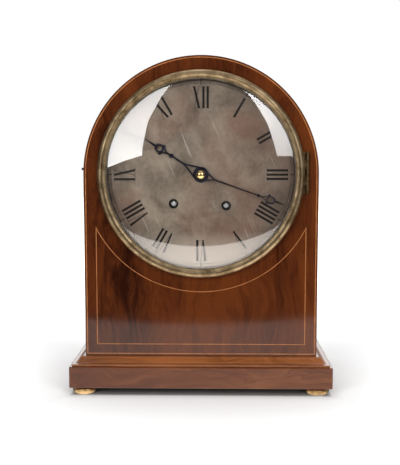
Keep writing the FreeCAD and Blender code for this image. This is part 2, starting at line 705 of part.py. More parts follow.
def arbor(radius):
    """A shaft that runs between the plates with a pivot in each."""
    gap, shake = value("plate_gap"), value("end_shake")
    reach = value("plate_thick") - 0.2
    shaft = Part.makeCylinder(radius, gap - 2 * shake, V(0, 0, shake - gap))
    return shaft.fuse(Part.makeCylinder(value("pivot_radius"), gap + 2 * reach, V(0, 0, -gap - reach)))


def solid(parts):
    """Parts fused into one clean solid."""
    return parts[0].fuse(parts[1:]).removeSplitter()


def angle_between(here, there):
    """Direction from one arbor to another, in degrees."""
    return math.degrees(math.atan2(there[1] - here[1], there[0] - here[0]))


def onward(start, distance, angle):
    """The place at a distance and a direction from another."""
    turn = math.radians(angle)
    return (start[0] + distance * math.cos(turn), start[1] + distance * math.sin(turn))


def meshing(first, near, second, far):
    """The arbor that stands at one distance from each of two others, on the right of the way up."""
    span = math.hypot(second[0] - first[0], second[1] - first[1])
    along = (near ** 2 - far ** 2 + span ** 2) / (2 * span)
    aside = math.sqrt(near ** 2 - along ** 2)
    way = ((second[0] - first[0]) / span, (second[1] - first[1]) / span)
    return (first[0] + along * way[0] + aside * way[1], first[1] + along * way[1] - aside * way[0])


def centre_distance(kind):
    """How far a wheel's arbor stands from the pinion that it drives."""
    return value(f"({kind}_teeth + leaves) / 2 * {kind}_module")


def find_arbors():
    """Where each arbor stands, as (across, up) from the middle of the dial."""
    found = {"centre": (0.0, 0.0)}
    found["time"] = (value("time_across"), -value("time_drop"))
    found["strike"] = (-value("strike_across"), -value("strike_drop"))
    found["inter"] = meshing(found["time"], centre_distance("great"), found["centre"],
                             centre_distance("inter"))
    found["third"] = onward(found["centre"], centre_distance("centre"), value("third_angle"))
    rise = math.sqrt(centre_distance("third") ** 2 - found["third"][0] ** 2)
    found["escape"] = (0.0, found["third"][1] + rise)
    found["swing"] = (0.0, value("swing_up"))
    found["pin"] = onward(found["strike"], centre_distance("great"), value("pin_angle"))
    found["gather"] = onward(found["pin"], centre_distance("strike_pin"), value("gather_angle"))
    found["fly"] = onward(found["gather"], centre_distance("gather"), value("fly_angle"))
    found["hammer"] = (-value("hammer_across"), value("hammer_up"))
    found["minute"] = onward(found["centre"], value("(cannon_teeth + minute_teeth) / 2 * minute_module"),
                             value("motion_angle"))
    return found


ARBORS = find_arbors()
CLICKS = {"time": 1, "strike": -1}


def between_plates(label, parts, name):
    """A sub-part made of parts that turn together on one arbor of the movement."""
    across, up = ARBORS[name]
    return shaped(label, solid(parts), repr(across), FRAME_IN, f"{HUB} + {up!r}")


def driving(kind, deep, aim_at, name, hub=4.0, arm=1.6, rim_wall=1.8):
    """The wheel that drives the next pinion, a tooth pointing at that pinion's arbor."""
    teeth, module = value(f"{kind}_teeth"), value(f"{kind}_module")
    aim = angle_between(ARBORS[name], ARBORS[aim_at])
    wheel = at_depth(gear(teeth, module, value("wheel_thick"), aim), deep)
    rim = module * (teeth / 2 - value("tooth_dedendum")) - rim_wall
    return crossed(wheel, rim, hub, arm)


def driven(module_name, wheel_deep, wheel_thick, driver, name):
    """The pinion that a wheel drives, centred on that wheel's rim, a gap pointing at its arbor."""
    length = value("pinion_length") + wheel_thick - value("wheel_thick")
    deep = wheel_deep - (length - wheel_thick) / 2
    aim = angle_between(ARBORS[name], ARBORS[driver])
    return at_depth(gear(value("leaves"), value(module_name), length, aim, tooth=False), deep)


def make_great_wheels():
    """Each barrel: a drum that holds the mainspring, with the great wheel on its front."""
    thick, deep = value("great_thick"), value("great_deep")
    for name, aim_at in (("time", "inter"), ("strike", "pin")):
        aim = angle_between(ARBORS[name], ARBORS[aim_at])
        wheel = at_depth(gear(value("great_teeth"), value("great_module"), thick, aim), deep)
        drum = Part.makeCylinder(value("great_teeth / 2 * great_module - drum_inset"), value("drum_length"))
        drum = at_depth(drum, deep + thick)
        bore = value("winding_radius + running_gap")
        hole = Part.makeCylinder(bore, value("plate_gap"), V(0, 0, -value("plate_gap")))
        across, up = ARBORS[name]
        shaped(f"{name}_barrel", wheel.fuse(drum).cut(hole).removeSplitter(), repr(across), FRAME_IN,
               f"{HUB} + {up!r}")


def make_going_train():
    """Intermediate, centre, third and escape wheels, each with its arbor and pinion."""
    between_plates("intermediate_wheel", [
        arbor(value("arbor_radius")),
        driving("inter", value("inter_deep"), "centre", "inter"),
        driven("great_module", value("great_deep"), value("great_thick"), "time", "inter")], "inter")
    nose = value("plate_thick + motion_space + dial_thick + minute_lift + hand_thick + 2.2")
    front = Part.makeCylinder(value("arbor_radius"), nose)
    between_plates("centre_wheel", [
        arbor(value("arbor_radius")), front,
        driving("centre", value("centre_deep"), "third", "centre"),
        driven("inter_module", value("inter_deep"), value("wheel_thick"), "inter", "centre")], "centre")
    between_plates("third_wheel", [
        arbor(value("arbor_radius")),
        driving("third", value("third_deep"), "escape", "third"),
        driven("centre_module", value("centre_deep"), value("wheel_thick"), "centre", "third")], "third")
    teeth, outer = int(value("escape_teeth")), value("escape_radius")
    inner, step = outer - 3.2, 2 * math.pi / teeth
    corners = []
    for count in range(teeth):
        turn = count * step
        corners.append(V(outer * math.cos(turn), outer * math.sin(turn), 0))
        corners.append(V(inner * math.cos(turn + 0.2 * step), inner * math.sin(turn + 0.2 * step), 0))
        corners.append(V(inner * math.cos(turn + 0.8 * step), inner * math.sin(turn + 0.8 * step), 0))
    corners.append(corners[0])
    wheel = Part.Face(Part.makePolygon(corners)).extrude(V(0, 0, value("wheel_thick")))
    wheel = crossed(at_depth(wheel, value("escape_deep")), inner - 1.5, 3.0, 1.4)
    between_plates("escape_wheel", [
        arbor(value("arbor_radius")), wheel,
        driven("third_module", value("third_deep"), value("wheel_thick"), "third", "escape")], "escape")


def make_strike_train():
    """Pin wheel, gathering wheel and fly."""
    pins = []
    for count in range(8):
        turn = math.radians(45 * count)
        pins.append(Part.makeCylinder(0.8, 3.2, V(13.2 * math.cos(turn), 13.2 * math.sin(turn),
                                                  -value("pin_deep") - 0.2)))
    between_plates("pin_wheel", [
        arbor(value("arbor_radius")),
        driving("strike_pin", value("pin_deep"), "gather", "pin", rim_wall=3.2), *pins,
        driven("great_module", value("great_deep"), value("great_thick"), "strike", "pin")], "pin")
    between_plates("gather_wheel", [
        arbor(value("arbor_radius")),
        driving("gather", value("inter_deep"), "fly", "gather"),
        driven("strike_pin_module", value("pin_deep"), value("wheel_thick"), "pin", "gather")], "gather")
    vane, length = value("fly_radius"), value("fly_length")
    blades = at_depth(Part.makeBox(2 * vane, 0.8, length, V(-vane, -0.4, 0)), value("fly_deep"))
    between_plates("strike_fly", [
        arbor(value("arbor_radius")), blades,
        driven("gather_module", value("inter_deep"), value("wheel_thick"), "gather", "fly")], "fly")


def make_winding_arbors():
    """Each winding arbor: pivots, the square behind the dial's hole and the ratchet wheel."""
    radius, square = value("winding_radius"), value("winding_square")
    gap, plate = value("plate_gap"), value("plate_thick")
    end = plate + value("motion_space") + value("dial_thick") - value("square_recess")
    start = plate + value("ratchet_stand")
    for name, side in CLICKS.items():
        teeth, outer = int(value("ratchet_teeth")), value("ratchet_radius")
        corners = []
        for count in range(teeth):
            turn = side * 2 * math.pi * count / teeth
            fall = side * 2 * math.pi * (count + 0.08) / teeth
            corners.append(V(outer * math.cos(turn), outer * math.sin(turn), 0))
            corners.append(V((outer - 1.3) * math.cos(fall), (outer - 1.3) * math.sin(fall), 0))
        corners.append(corners[0])
        ratchet = Part.Face(Part.makePolygon(corners)).extrude(V(0, 0, value("ratchet_thick")))
        ratchet.translate(V(0, 0, start))
        shaft = Part.makeCylinder(radius, end - value("square_length") + gap + plate - 0.2,
                                  V(0, 0, -gap - plate + 0.2))
        key = Part.makeBox(square, square, value("square_length"),
                           V(-square / 2, -square / 2, end - value("square_length")))
        key.rotate(V(0, 0, 0), V(0, 0, 1), 45)
        across, up = ARBORS[name]
        shaped(f"{name}_winding_arbor", solid([shaft, ratchet, key]), repr(across), FRAME_IN,
               f"{HUB} + {up!r}")


def click_place(name):
    """Where a click's stud stands: out to the side of its ratchet and above it."""
    outer = value("ratchet_radius")
    across, up = ARBORS[name]
    return (across + CLICKS[name] * (outer + 7), up + outer + 2)


def make_clicks():
    """Each click: an arm from its stud to just outside the ratchet's teeth."""
    outer = value("ratchet_radius") + value("click_clear")
    start = value("plate_thick") + value("ratchet_stand")
    for name, side in CLICKS.items():
        across, up = click_place(name)
        hub = ARBORS[name]
        nose = [(hub[0] + side * r * math.sin(math.radians(a)) - across,
                 hub[1] + r * math.cos(math.radians(a)) - up)
                for r, a in ((outer, 10), (outer + 1.6, 8), (outer + 2.2, 22))]
        arm = [V(nose[0][0], nose[0][1], 0), V(nose[1][0], nose[1][1], 0), V(0, 2.2, 0),
               V(side * 0.8, -2.2, 0), V(nose[2][0], nose[2][1] - 1.3, 0)]
        arm.append(arm[0])
        plate = Part.Face(Part.makePolygon(arm)).extrude(V(0, 0, value("ratchet_thick")))
        eye = Part.makeCylinder(3, value("ratchet_thick"))
        bore = Part.makeCylinder(value("arbor_radius + running_gap"), value("ratchet_thick"))
        for part in (plate, eye, bore):
            part.translate(V(0, 0, start))
        click = plate.fuse(eye).cut(bore).removeSplitter()
        shaped(f"{name}_click", click, repr(across), FRAME_IN, f"{HUB} + {up!r}")


# ---------------------------------------------------------------- motion work and hands

CANNON_LOW = 2.4      # the cannon pinion's teeth start this far in front of the front plate
HOUR_LOW = 6.6        # and the hour wheel's, likewise


def make_motion_work():
    """Cannon pinion, minute wheel with its pinion, and hour wheel with its pipe."""
    plate = value("plate_thick")
    dial = value("plate_thick + motion_space + dial_thick")
    module = value("minute_module")
    toward = value("motion_angle")
    bore = value("arbor_radius + running_gap")
    low, high = plate + CANNON_LOW, plate + HOUR_LOW
    teeth = gear(value("cannon_teeth"), module, 2, toward)
    teeth.translate(V(0, 0, low))
    pipe_top = dial + value("minute_lift + hand_thick")
    pipe = Part.makeCylinder(value("cannon_radius"), pipe_top - plate - 0.4, V(0, 0, plate + 0.4))
    hole = Part.makeCylinder(bore, pipe_top + 2)
    shaped("cannon_pinion", teeth.fuse(pipe).cut(hole).removeSplitter(), "0", FRAME_IN, HUB)

    wheel = gear(value("minute_teeth"), module, value("wheel_thick"), toward + 180, tooth=False)
    wheel.translate(V(0, 0, low + 0.4))
    fine = value("(cannon_teeth + minute_teeth) * minute_module / (hour_leaves + hour_teeth)")
    leaves = gear(value("hour_leaves"), fine, high + 2 - low, toward + 180)
    leaves.translate(V(0, 0, low + 0.4))
    hole = Part.makeCylinder(bore + 0.1, 30)
    across, up = ARBORS["minute"]
    shaped("minute_wheel", wheel.fuse(leaves).cut(hole).removeSplitter(), repr(across), FRAME_IN,
           f"{HUB} + {up!r}")

    wheel = gear(value("hour_teeth"), fine, value("wheel_thick"), toward, tooth=False)
    wheel.translate(V(0, 0, high + 0.4))
    pipe_top = dial + value("hour_lift + hand_thick")
    pipe = Part.makeCylinder(value("hour_pipe"), pipe_top - high - 0.4, V(0, 0, high + 0.4))
    hole = Part.makeCylinder(value("cannon_radius + pipe_gap"), pipe_top + 2)
    shaped("hour_wheel", wheel.fuse(pipe).cut(hole).removeSplitter(), "0", FRAME_IN, HUB)


def strip(points, thick):
    """A flat straight-edged piece of a hand from its corners."""
    corners = [V(across, up, 0) for across, up in points]
    corners.append(corners[0])
    return Part.Face(Part.makePolygon(corners)).extrude(V(0, 0, thick))


def disc(radius, up, thick, across=0.0):
    """A round piece of a hand."""
    return Part.makeCylinder(radius, thick, V(across, up, 0))


def make_hand(kind, bore):
    """A pierced hand that points up before it is turned: a boss, two arms that meet at the fork,
    a bead, a loop with a scroll at each side, and a point. The bead and the loop are measured
    back from the point, and the point from the dial's edge."""
    length, boss = value(f"dial_radius - {kind}_short"), value(f"{kind}_boss")
    fork, angle = value(f"{kind}_fork"), value(f"{kind}_angle")
    bead, loop = length - value(f"{kind}_bead"), length - value(f"{kind}_loop")
    thick = value("hand_thick")
    ring, wire = value("loop_radius"), value("loop_wire")
    throat = loop - 2.05 * ring
    parts = [
        disc(boss, 0, thick),
        strip([(-boss * 0.72, boss * 0.6), (-boss * 0.28, boss * 0.9), (0.55, fork), (-0.75, fork)], thick),
        strip([(boss * 0.72, boss * 0.6), (boss * 0.28, boss * 0.9), (-0.55, fork), (0.75, fork)], thick),
        strip([(-0.8, fork - 1), (0.8, fork - 1), (0.9, bead), (-0.9, bead)], thick),
        disc(1.9, bead, thick),
        strip([(-1.5, bead), (1.5, bead), (0.8, throat + 1), (-0.8, throat + 1)], thick),
        strip([(-1.0, throat), (1.0, throat), (ring * 0.97, loop - ring * 0.25),
               (-ring * 0.97, loop - ring * 0.25)], thick),
        disc(ring, loop, thick),
        disc(1.15, loop - ring * 0.95, thick, -ring * 0.9),
        disc(1.15, loop - ring * 0.95, thick, ring * 0.9),
        strip([(-2.4, loop + ring * 0.7), (2.4, loop + ring * 0.7), (0.9, loop + ring + 3.2),
               (0.35, length), (-0.35, length), (-0.9, loop + ring + 3.2)], thick),
    ]
    holes = [
        disc(ring - wire, loop, thick),
        strip([(-0.05, throat + 2.6), (0.05, throat + 2.6), (ring * 0.97 - wire, loop - ring * 0.25),
               (-ring * 0.97 + wire, loop - ring * 0.25)], thick),
        disc(bore, 0, thick),
    ]
    for part in parts + holes:
        part.rotate(V(0, 0, 0), V(0, 0, 1), -angle)
    hand = parts[0].fuse(parts[1:]).cut(holes).removeSplitter()
    shaped(f"{kind}_hand", hand, "0", f"{DIAL_FRONT} - {kind}_lift", HUB)


def make_hands():
    """Hour hand on the hour pipe, minute hand on the cannon pinion, and the domed nut over both."""
    make_hand("hour", value("hour_pipe"))
    make_hand("minute", value("cannon_radius"))
    cap, height = "hand_cap", 3.6
    turned("hand_nut", [
        ("0", "arbor_radius + running_gap"), ("0", cap), ("0.8", cap, f"({cap}^2 + {height - 0.8}^2) / "
         f"(2 * {height - 0.8})", "right"), (repr(height), "0"), ("2.8", "0"),
        ("2.8", "arbor_radius + running_gap")],
        "0", f"{DIAL_FRONT} - minute_lift - hand_thick", HUB)


# ---------------------------------------------------------------- movement frame

def plate_with_holes(label, along, holes):
    """A movement plate drilled for its pivots and its pillars."""
    item = body(label)
    sketch = sketch_on(item, "XZ_Plane")
    rectangle(sketch, "-plate_half", "plate_half", "-plate_bottom", "plate_top")
    for radius, across, up in holes:
        circle(sketch, radius, across, up)
    pad(item, sketch, "plate_thick")
    place(item, "0", along, HUB)


def arbor_hole(name, radius=PIVOT_HOLE):
    """A hole at one of the arbors."""
    across, up = (repr(number) if abs(number) > 1e-9 else "0" for number in ARBORS[name])
    return (radius, across, up)


PILLARS = [(f"{side} * (plate_half - pillar_inset)", up)
           for side in ("-1", "1") for up in ("plate_top - pillar_inset", "pillar_inset - plate_bottom")]


def make_plates():
    """Front and back plates of the movement."""
    shared = [arbor_hole(name) for name in ("inter", "third", "escape", "pin", "gather", "fly", "hammer")]
    wound = [arbor_hole(name, "winding_radius + running_gap") for name in CLICKS]
    front = [arbor_hole("centre", "arbor_radius + running_gap"), arbor_hole("swing")]
    back = [arbor_hole("centre"), arbor_hole("swing", "arbor_radius + 1")]
    plate_with_holes("front_plate", FRAME_IN, shared + wound + front +
                     [("pillar_tenon", across, up) for across, up in PILLARS])
    plate_with_holes("back_plate", FRAME_OUT, shared + wound + back +
                     [("pillar_thread", across, up) for across, up in PILLARS])


def make_pillars():
    """Four turned pillars with their nuts behind the back plate."""
    pillars, nuts = [], []
    for across, rise in PILLARS:
        up = f"{HUB} + {rise}"
        pillars.append(joined([
            cylinder("pillar_radius", "plate_gap", (across, FRAME_IN, up), BACKWARD),
            cylinder("pillar_tenon", "plate_thick", (across, FRONT_PLATE, up), BACKWARD),
            cylinder("pillar_thread", "plate_thick + nut_thick", (across, BACK_PLATE, up), BACKWARD)]))
        nuts.append(less(cylinder("nut_radius", "nut_thick", (across, FRAME_OUT, up), BACKWARD),
                         cylinder("pillar_thread", "nut_thick", (across, FRAME_OUT, up), BACKWARD)))
    finish(joined(pillars), "plate_pillars")
    finish(joined(nuts), "pillar_nuts")


def make_seat():
    """The board that the movement stands on, between the case's sides, and its two screws."""
    top = f"{HUB} - plate_bottom"
    screws, holes = [], []
    for side in ("-1", "1"):
        across = f"{side} * (plate_half - pillar_inset)"
        along = f"{FRAME_IN} + plate_gap / 2"
        shaft = cylinder("seat_screw", "seat_thick + pillar_inset - pillar_radius",
                         (across, along, f"{top} - seat_thick"))
        head = cylinder("seat_head", "3", (across, along, f"{top} - seat_thick - 3"))
        screws.append(joined([shaft, head]))
        holes.append(cylinder("seat_screw", "seat_thick", (across, along, f"{top} - seat_thick")))
    half = f"({CASE_HALF} - shell_thick)"
    board = box((f"2 * {half}", f"{FRAME_OUT} - {FRONT_PLATE} + 4", "seat_thick"),
                (f"-{half}", f"{FRONT_PLATE} - 2", f"{top} - seat_thick"))
    finish(less(board, joined(holes)), "seat_board")
    finish(joined(screws), "seat_screws")


def make_studs():
    """Three studs on the front plate: the minute wheel's and one for each click."""
    studs = []
    for name, length in (("minute", "10.5"), ("time", "ratchet_stand + ratchet_thick + 0.4"),
                         ("strike", "ratchet_stand + ratchet_thick + 0.4")):
        across, up = ARBORS["minute"] if name == "minute" else click_place(name)
        studs.append(cylinder("arbor_radius", length, (repr(across), f"{FRONT_PLATE} - ({length})",
                                                       f"{HUB} + {up!r}"), BACKWARD))
    finish(joined(studs), "front_studs")


# ---------------------------------------------------------------- pendulum and escapement

SWING = f"({HUB} + swing_up)"
COCK = f"({FRAME_OUT} + cock_stand)"
PENDULUM = f"({FRAME_OUT} + pendulum_stand)"


def make_back_cock():
    """The bridge behind the back plate that carries the pallet arbor and the pendulum."""
    parts = [box(("44", "cock_thick", "12"), ("-22", COCK, f"{SWING} - 6")),
             box(("6", "cock_stand", "12"), ("-22", FRAME_OUT, f"{SWING} - 6")),
             box(("6", "cock_stand", "12"), ("16", FRAME_OUT, f"{SWING} - 6")),
             box(("10", "pendulum_stand + 3 - cock_stand", "7"), ("-5", COCK, f"{SWING} + 0.3"))]
    hole = cylinder(PIVOT_HOLE, "cock_thick + 0.2", ("0", f"{COCK} - 0.1", SWING), BACKWARD)
    finish(less(joined(parts), hole), "back_cock")


def make_pallets():
    """The anchor over the escape wheel, its arbor, and the crutch that reaches the pendulum rod."""
    lift = ARBORS["swing"][1] - ARBORS["escape"][1]
    clear = value("escape_radius") + value("pallet_gap")
    thick = value("wheel_thick") + 0.8
    gap, plate, pivot = value("plate_gap"), value("plate_thick"), value("pivot_radius")
    touch = math.radians(45)
    arms = []
    for side in (-1, 1):
        inner = V(side * clear * math.sin(touch), clear * math.cos(touch) - lift, 0)
        outer = V(side * (clear + 2.6) * math.sin(touch), (clear + 2.6) * math.cos(touch) - lift, 0)
        heel = V(outer.x + side * 1.4, outer.y + 1.8, 0)
        corners = [V(-side * 1.6, 2, 0), V(side * 3, 2.6, 0), heel, outer, inner,
                   V(inner.x - side * 0.4, inner.y + 2.4, 0), V(-side * 1.6, -1.6, 0)]
        corners.append(corners[0])
        arms.append(Part.Face(Part.makePolygon(corners)).extrude(V(0, 0, thick)))
    anchor = at_depth(arms[0].fuse(arms[1]), value("escape_deep") - 0.4)
    far = gap + plate + value("cock_stand") - 0.3
    shaft = Part.makeCylinder(value("arbor_radius"), far - value("end_shake"), V(0, 0, -far))
    pivots = Part.makeCylinder(pivot, far + 2.6 + plate - 0.2, V(0, 0, -far - 2.6))
    drop = value("crutch_length")
    behind = gap + plate + 1.5
    reach = value("pendulum_stand") + 3
    strap = Part.makeBox(3, drop, 1.5, V(-1.5, -drop, -behind - 1.5))
    fork = Part.makeBox(7, 2, reach - 1.5, V(-3.5, -drop - 1, -gap - plate - reach))
    slot = value("crutch_slot")
    notch = Part.makeBox(2 * slot, 4, 6.2, V(-slot, -drop - 2, -gap - plate - reach - 0.1))
    shape = solid([shaft, pivots, anchor, strap, fork]).cut(notch)
    shaped("pallets", shape, "0", FRAME_IN, SWING)


BOB_UP = f"({SWING} - pendulum_length)"


def make_pendulum():
    """Suspension strip, rod, lens-shaped bob and rating nut."""
    rod_end = "pendulum_length + bob_radius + rating_thick + 8"
    strip_part = box(("5", "0.4", "10"), ("-2.5", f"{PENDULUM} - 0.2", f"{SWING} - 10"))
    block = box(("6", "4", "6"), ("-3", f"{PENDULUM} - 2", f"{SWING} - 15"))
    rod = cylinder("rod_radius", f"{rod_end} - 12", ("0", PENDULUM, f"{SWING} - ({rod_end})"))
    finish(joined([strip_part, block, rod]), "pendulum_rod")
    bore = "rod_radius + running_gap"
    lens = body("pendulum_bob_turning")
    pieces.remove(lens)
    sketch = sketch_on(lens, "YZ_Plane")
    half, edge = "(bob_thick / 2)", "0.8"
    curve = f"((bob_radius^2 + ({half} - {edge})^2) / (2 * ({half} - {edge})))"
    outline(sketch, [(f"-{half}", "0", curve, "right"), (f"-{edge}", "bob_radius"),
                     (edge, "bob_radius", curve, "right"), (half, "0")])
    revolve(lens, sketch, "H_Axis")
    place(lens, "0", PENDULUM, BOB_UP, TURNED)
    hole = cylinder(bore, "2 * bob_radius + 2", ("0", PENDULUM, f"{BOB_UP} - bob_radius - 1"))
    finish(less(lens, hole), "pendulum_bob")
    nut_up = f"{BOB_UP} - bob_radius - rating_thick - 0.1"
    nut = cylinder("rating_radius", "rating_thick", ("0", PENDULUM, nut_up))
    hole = cylinder(bore, "rating_thick", ("0", PENDULUM, nut_up))
    finish(less(nut, hole), "rating_nut")


# ---------------------------------------------------------------- bell and hammer

BELL_ALONG = f"({FRAME_IN} + bell_depth)"
BRIDGE_UP = f"({HUB} + plate_top)"
BELL_UP = f"({HUB} + plate_top + bridge_thick + bell_clear)"


def make_bell():
    """A bar across the tops of the plates with the post that carries the bell."""
    bar = box(("bridge_wide", "plate_gap + 2 * plate_thick", "bridge_thick"),
              ("-bridge_wide / 2", FRONT_PLATE, BRIDGE_UP))
    post = cylinder("post_radius", f"bell_clear + bell_height + 4", ("0", BELL_ALONG, f"{BRIDGE_UP} + bridge_thick"))
    collar = cylinder("post_radius + 2.5", "bell_clear + bell_height - bell_wall",
                      ("0", BELL_ALONG, f"{BRIDGE_UP} + bridge_thick"))
    nut = cylinder("post_radius + 2", "2.5", ("0", BELL_ALONG, f"{BELL_UP} + bell_height"))
    finish(joined([bar, post, collar, nut]), "bell_bridge")
    item = body("bell")
    sketch = sketch_on(item, "XZ_Plane")
    crown = "(bell_radius * 0.35)"
    curve = "(bell_height * 1.06)"
    outline(sketch, [
        ("post_radius", "bell_height - bell_wall"),
        (crown, "bell_height - bell_wall", f"{curve}", "right"),
        ("bell_radius - bell_wall", "0"),
        ("bell_radius", "0", f"{curve} + bell_wall", "left"),
        (f"{crown} + 1", "bell_height"),
        ("post_radius", "bell_height")])
    revolve(item, sketch, "V_Axis")
    place(item, "0", BELL_ALONG, BELL_UP)


def make_hammer():
    """The hammer: its arbor, the arm up to the bell's rim and the tail beside the pin wheel."""
    across, up = ARBORS["hammer"]
    deep = value("bell_depth")
    head = value("hammer_head")
    rise = value("plate_top + bridge_thick + bell_clear") + head - up
    out = -value("bell_radius") - value("hammer_gap") - head - across
    turn = math.degrees(math.atan2(-out, rise))
    reach = math.hypot(out, rise)
    arm = Part.makeBox(2.4, reach, 2.4, V(-1.2, 0, -deep - 1.2))
    arm.rotate(V(0, 0, 0), V(0, 0, 1), turn)
    knob = Part.makeCylinder(head, 8, V(out, rise, -deep - 4))
    wheel = ARBORS["pin"]
    tip = math.hypot(wheel[0] - across, wheel[1] - up) - 13.2 - 0.8 - 0.8
    tail = Part.makeBox(tip, 2, 2.4, V(0, -1, -value("pin_deep") - 0.4 + 0.6))
    tail.rotate(V(0, 0, 0), V(0, 0, 1), angle_between(ARBORS["hammer"], wheel))
    between_plates("hammer", [arbor(value("arbor_radius") + 0.5), arm, knob, tail], "hammer")


# ---------------------------------------------------------------- strike/silent lever

LEVER_ALONG = f"({CASE_FRONT} + lever_depth)"
LEVER_UP = f"({HUB} + lever_lift)"


def make_lever():
    """The lever through the left side and the bracket that it rocks in."""
    across = "(lever_inset - case_width / 2)"
    wall = "(shell_thick - case_width / 2)"
    tail = f"({across} + 22)"
    end = "(case_width / 2 + lever_out)"
    pivot = (across, f"{LEVER_ALONG} - 1.5", LEVER_UP)
    stem = cylinder("lever_radius", f"{tail} + {end} - lever_head_length / 2",
                    (tail, LEVER_ALONG, LEVER_UP), LEFTWARD)
    head = cylinder("lever_head", "lever_head_length", (f"lever_head_length - {end}", LEVER_ALONG, LEVER_UP),
                    LEFTWARD)
    eye = cylinder("3", "3", pivot, BACKWARD)
    bore = cylinder("lever_pin + running_gap", "3", pivot, BACKWARD)
    finish(less(joined([stem, head, eye]), bore), "strike_silent_lever")
    parts = [cylinder("lever_pin", "7", (across, f"{LEVER_ALONG} - 3.5", LEVER_UP), BACKWARD)]
    for low in ("-3.5", "2"):
        along = f"{LEVER_ALONG} + {low}"
        parts.append(box((f"{across} + 2.4 - {wall}", "1.5", "lever_lift + 6"),
                         (f"{wall} + 0.6", along, f"{HUB} - 3")))
    parts.append(box(("1.5", "7", "12"), (wall, f"{LEVER_ALONG} - 3.5", f"{HUB} - 12.5")))
    parts.append(box((f"{across} + 3 - {wall}", "7", "1.5"), (wall, f"{LEVER_ALONG} - 3.5", f"{HUB} - 4")))
    finish(joined(parts), "lever_bracket")


# ---------------------------------------------------------------- make, check, write

for make in (make_plinth, make_feet, make_base_moulding, make_front_board, make_lines, make_case_shell,
             make_back_board, make_dial, make_bezel, make_bezel_hinge, make_back_door, make_door_hinges,
             make_door_catch, make_great_wheels, make_going_train, make_strike_train,
             make_winding_arbors, make_clicks, make_motion_work, make_hands, make_plates, make_pillars,
             make_seat, make_studs, make_back_cock, make_pallets, make_pendulum, make_bell, make_hammer,
             make_lever):
    make()
doc.recompute()

for item in doc.Objects:
    if {"Invalid", "Error"} & set(item.State):
        raise ValueError(f"{item.Label} failed: {item.State}")
    if item.TypeId == "PartDesign::Pocket" and item.Shape.Volume > item.BaseFeature.Shape.Volume - 0.1:
        raise ValueError(f"{item.Label} cuts nothing")
for item in pieces:
    if item.Shape.isNull() or not item.Shape.isValid() or not item.Shape.Solids:
        raise ValueError(f"{item.Label} has no valid shape")

os.makedirs("parts", exist_ok=True)
for item in pieces:
    item.Shape.exportStep(f"parts/{item.Label}.step")
    print(item.Label, len(item.Shape.Solids), round(item.Shape.Volume, 2))
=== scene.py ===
"""Bracket clock: the visual model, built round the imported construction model.

Lengths in the code are millimetres, and put() writes them to the meshes in metres. +X is to
the right as the dial is read, -Y is towards the viewer and +Z is up.
"""

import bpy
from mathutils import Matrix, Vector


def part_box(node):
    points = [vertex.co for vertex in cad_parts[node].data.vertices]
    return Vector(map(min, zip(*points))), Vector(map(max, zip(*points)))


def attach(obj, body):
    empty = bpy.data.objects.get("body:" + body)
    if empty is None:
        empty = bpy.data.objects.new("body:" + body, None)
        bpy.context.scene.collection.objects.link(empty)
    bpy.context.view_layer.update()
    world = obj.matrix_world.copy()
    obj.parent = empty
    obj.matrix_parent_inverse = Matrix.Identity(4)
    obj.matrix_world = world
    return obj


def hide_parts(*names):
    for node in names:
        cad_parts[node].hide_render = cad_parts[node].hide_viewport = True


bl_info = {
    "name": "Bracket Clock",
    "version": (1, 0, 0),
    "blender": (4, 5, 0),
    "location": "3D View > Sidebar > Clock",
    "description": "Builds the case, dial, bezel, hands and stage of an arched bracket clock",
    "category": "Object",
}

import math

import bpy
import numpy as np
from bpy.props import FloatProperty, FloatVectorProperty, PointerProperty
from mathutils import Vector

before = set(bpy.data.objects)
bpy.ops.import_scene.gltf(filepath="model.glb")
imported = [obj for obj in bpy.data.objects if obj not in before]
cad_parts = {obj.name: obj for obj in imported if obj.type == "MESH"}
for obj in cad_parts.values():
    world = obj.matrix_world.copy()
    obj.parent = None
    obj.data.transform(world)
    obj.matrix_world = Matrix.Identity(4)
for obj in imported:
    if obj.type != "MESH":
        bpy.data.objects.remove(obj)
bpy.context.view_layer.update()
MM = 0.001

DIAL_LOW, DIAL_HIGH = (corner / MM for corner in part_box("dial_plate"))
HUB = (DIAL_LOW.z + DIAL_HIGH.z) / 2  # height of the dial's centre
DIAL_RADIUS = (DIAL_HIGH.x - DIAL_LOW.x) / 2
DIAL_FRONT = DIAL_LOW.y
CASE_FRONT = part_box("front_board")[0].y / MM
CASE_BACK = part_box("back_board")[1].y / MM
CASE_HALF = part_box("case_shell")[1].x / MM
PLINTH_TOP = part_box("plinth")[1].z / MM
BOARD = 10.0  # thickness of the boards and of the bent shell
MOULDING = 9.0  # height of the base moulding
MINUTE_FRONT = DIAL_FRONT - 5.8  # front of the minute hand, where the nut bears on it

# where in the log the grain of each part starts, so that no two parts show the same figure
BENT_ACROSS, BENT_ALONG = 300.0, 60.0
BACK_START, DOOR_START, MOULDING_START, PLINTH_START = 400.0, 500.0, 700.0, 900.0


# ---------------------------------------------------------------- colours and nodes


def linear(code):
    """Linear colour of an sRGB hex code: a share of 12.92 below 0.04045, and above it the
    channel plus 0.055, over 1.055, to the power 2.4."""
    channels = [int(code[place : place + 2], 16) / 255 for place in (1, 3, 5)]
    return tuple(c / 12.92 if c <= 0.04045 else ((c + 0.055) / 1.055) ** 2.4 for c in channels) + (1.0,)


def grey(level):
    """A ramp's stop of one level."""
    return (level, level, level, 1.0)


def colours():
    """The colours that the sidebar holds."""
    return bpy.context.scene.clock_colours


def blank(holder):
    """The emptied node tree of a material or a world."""
    holder.use_nodes = True
    holder.node_tree.nodes.clear()
    return holder.node_tree


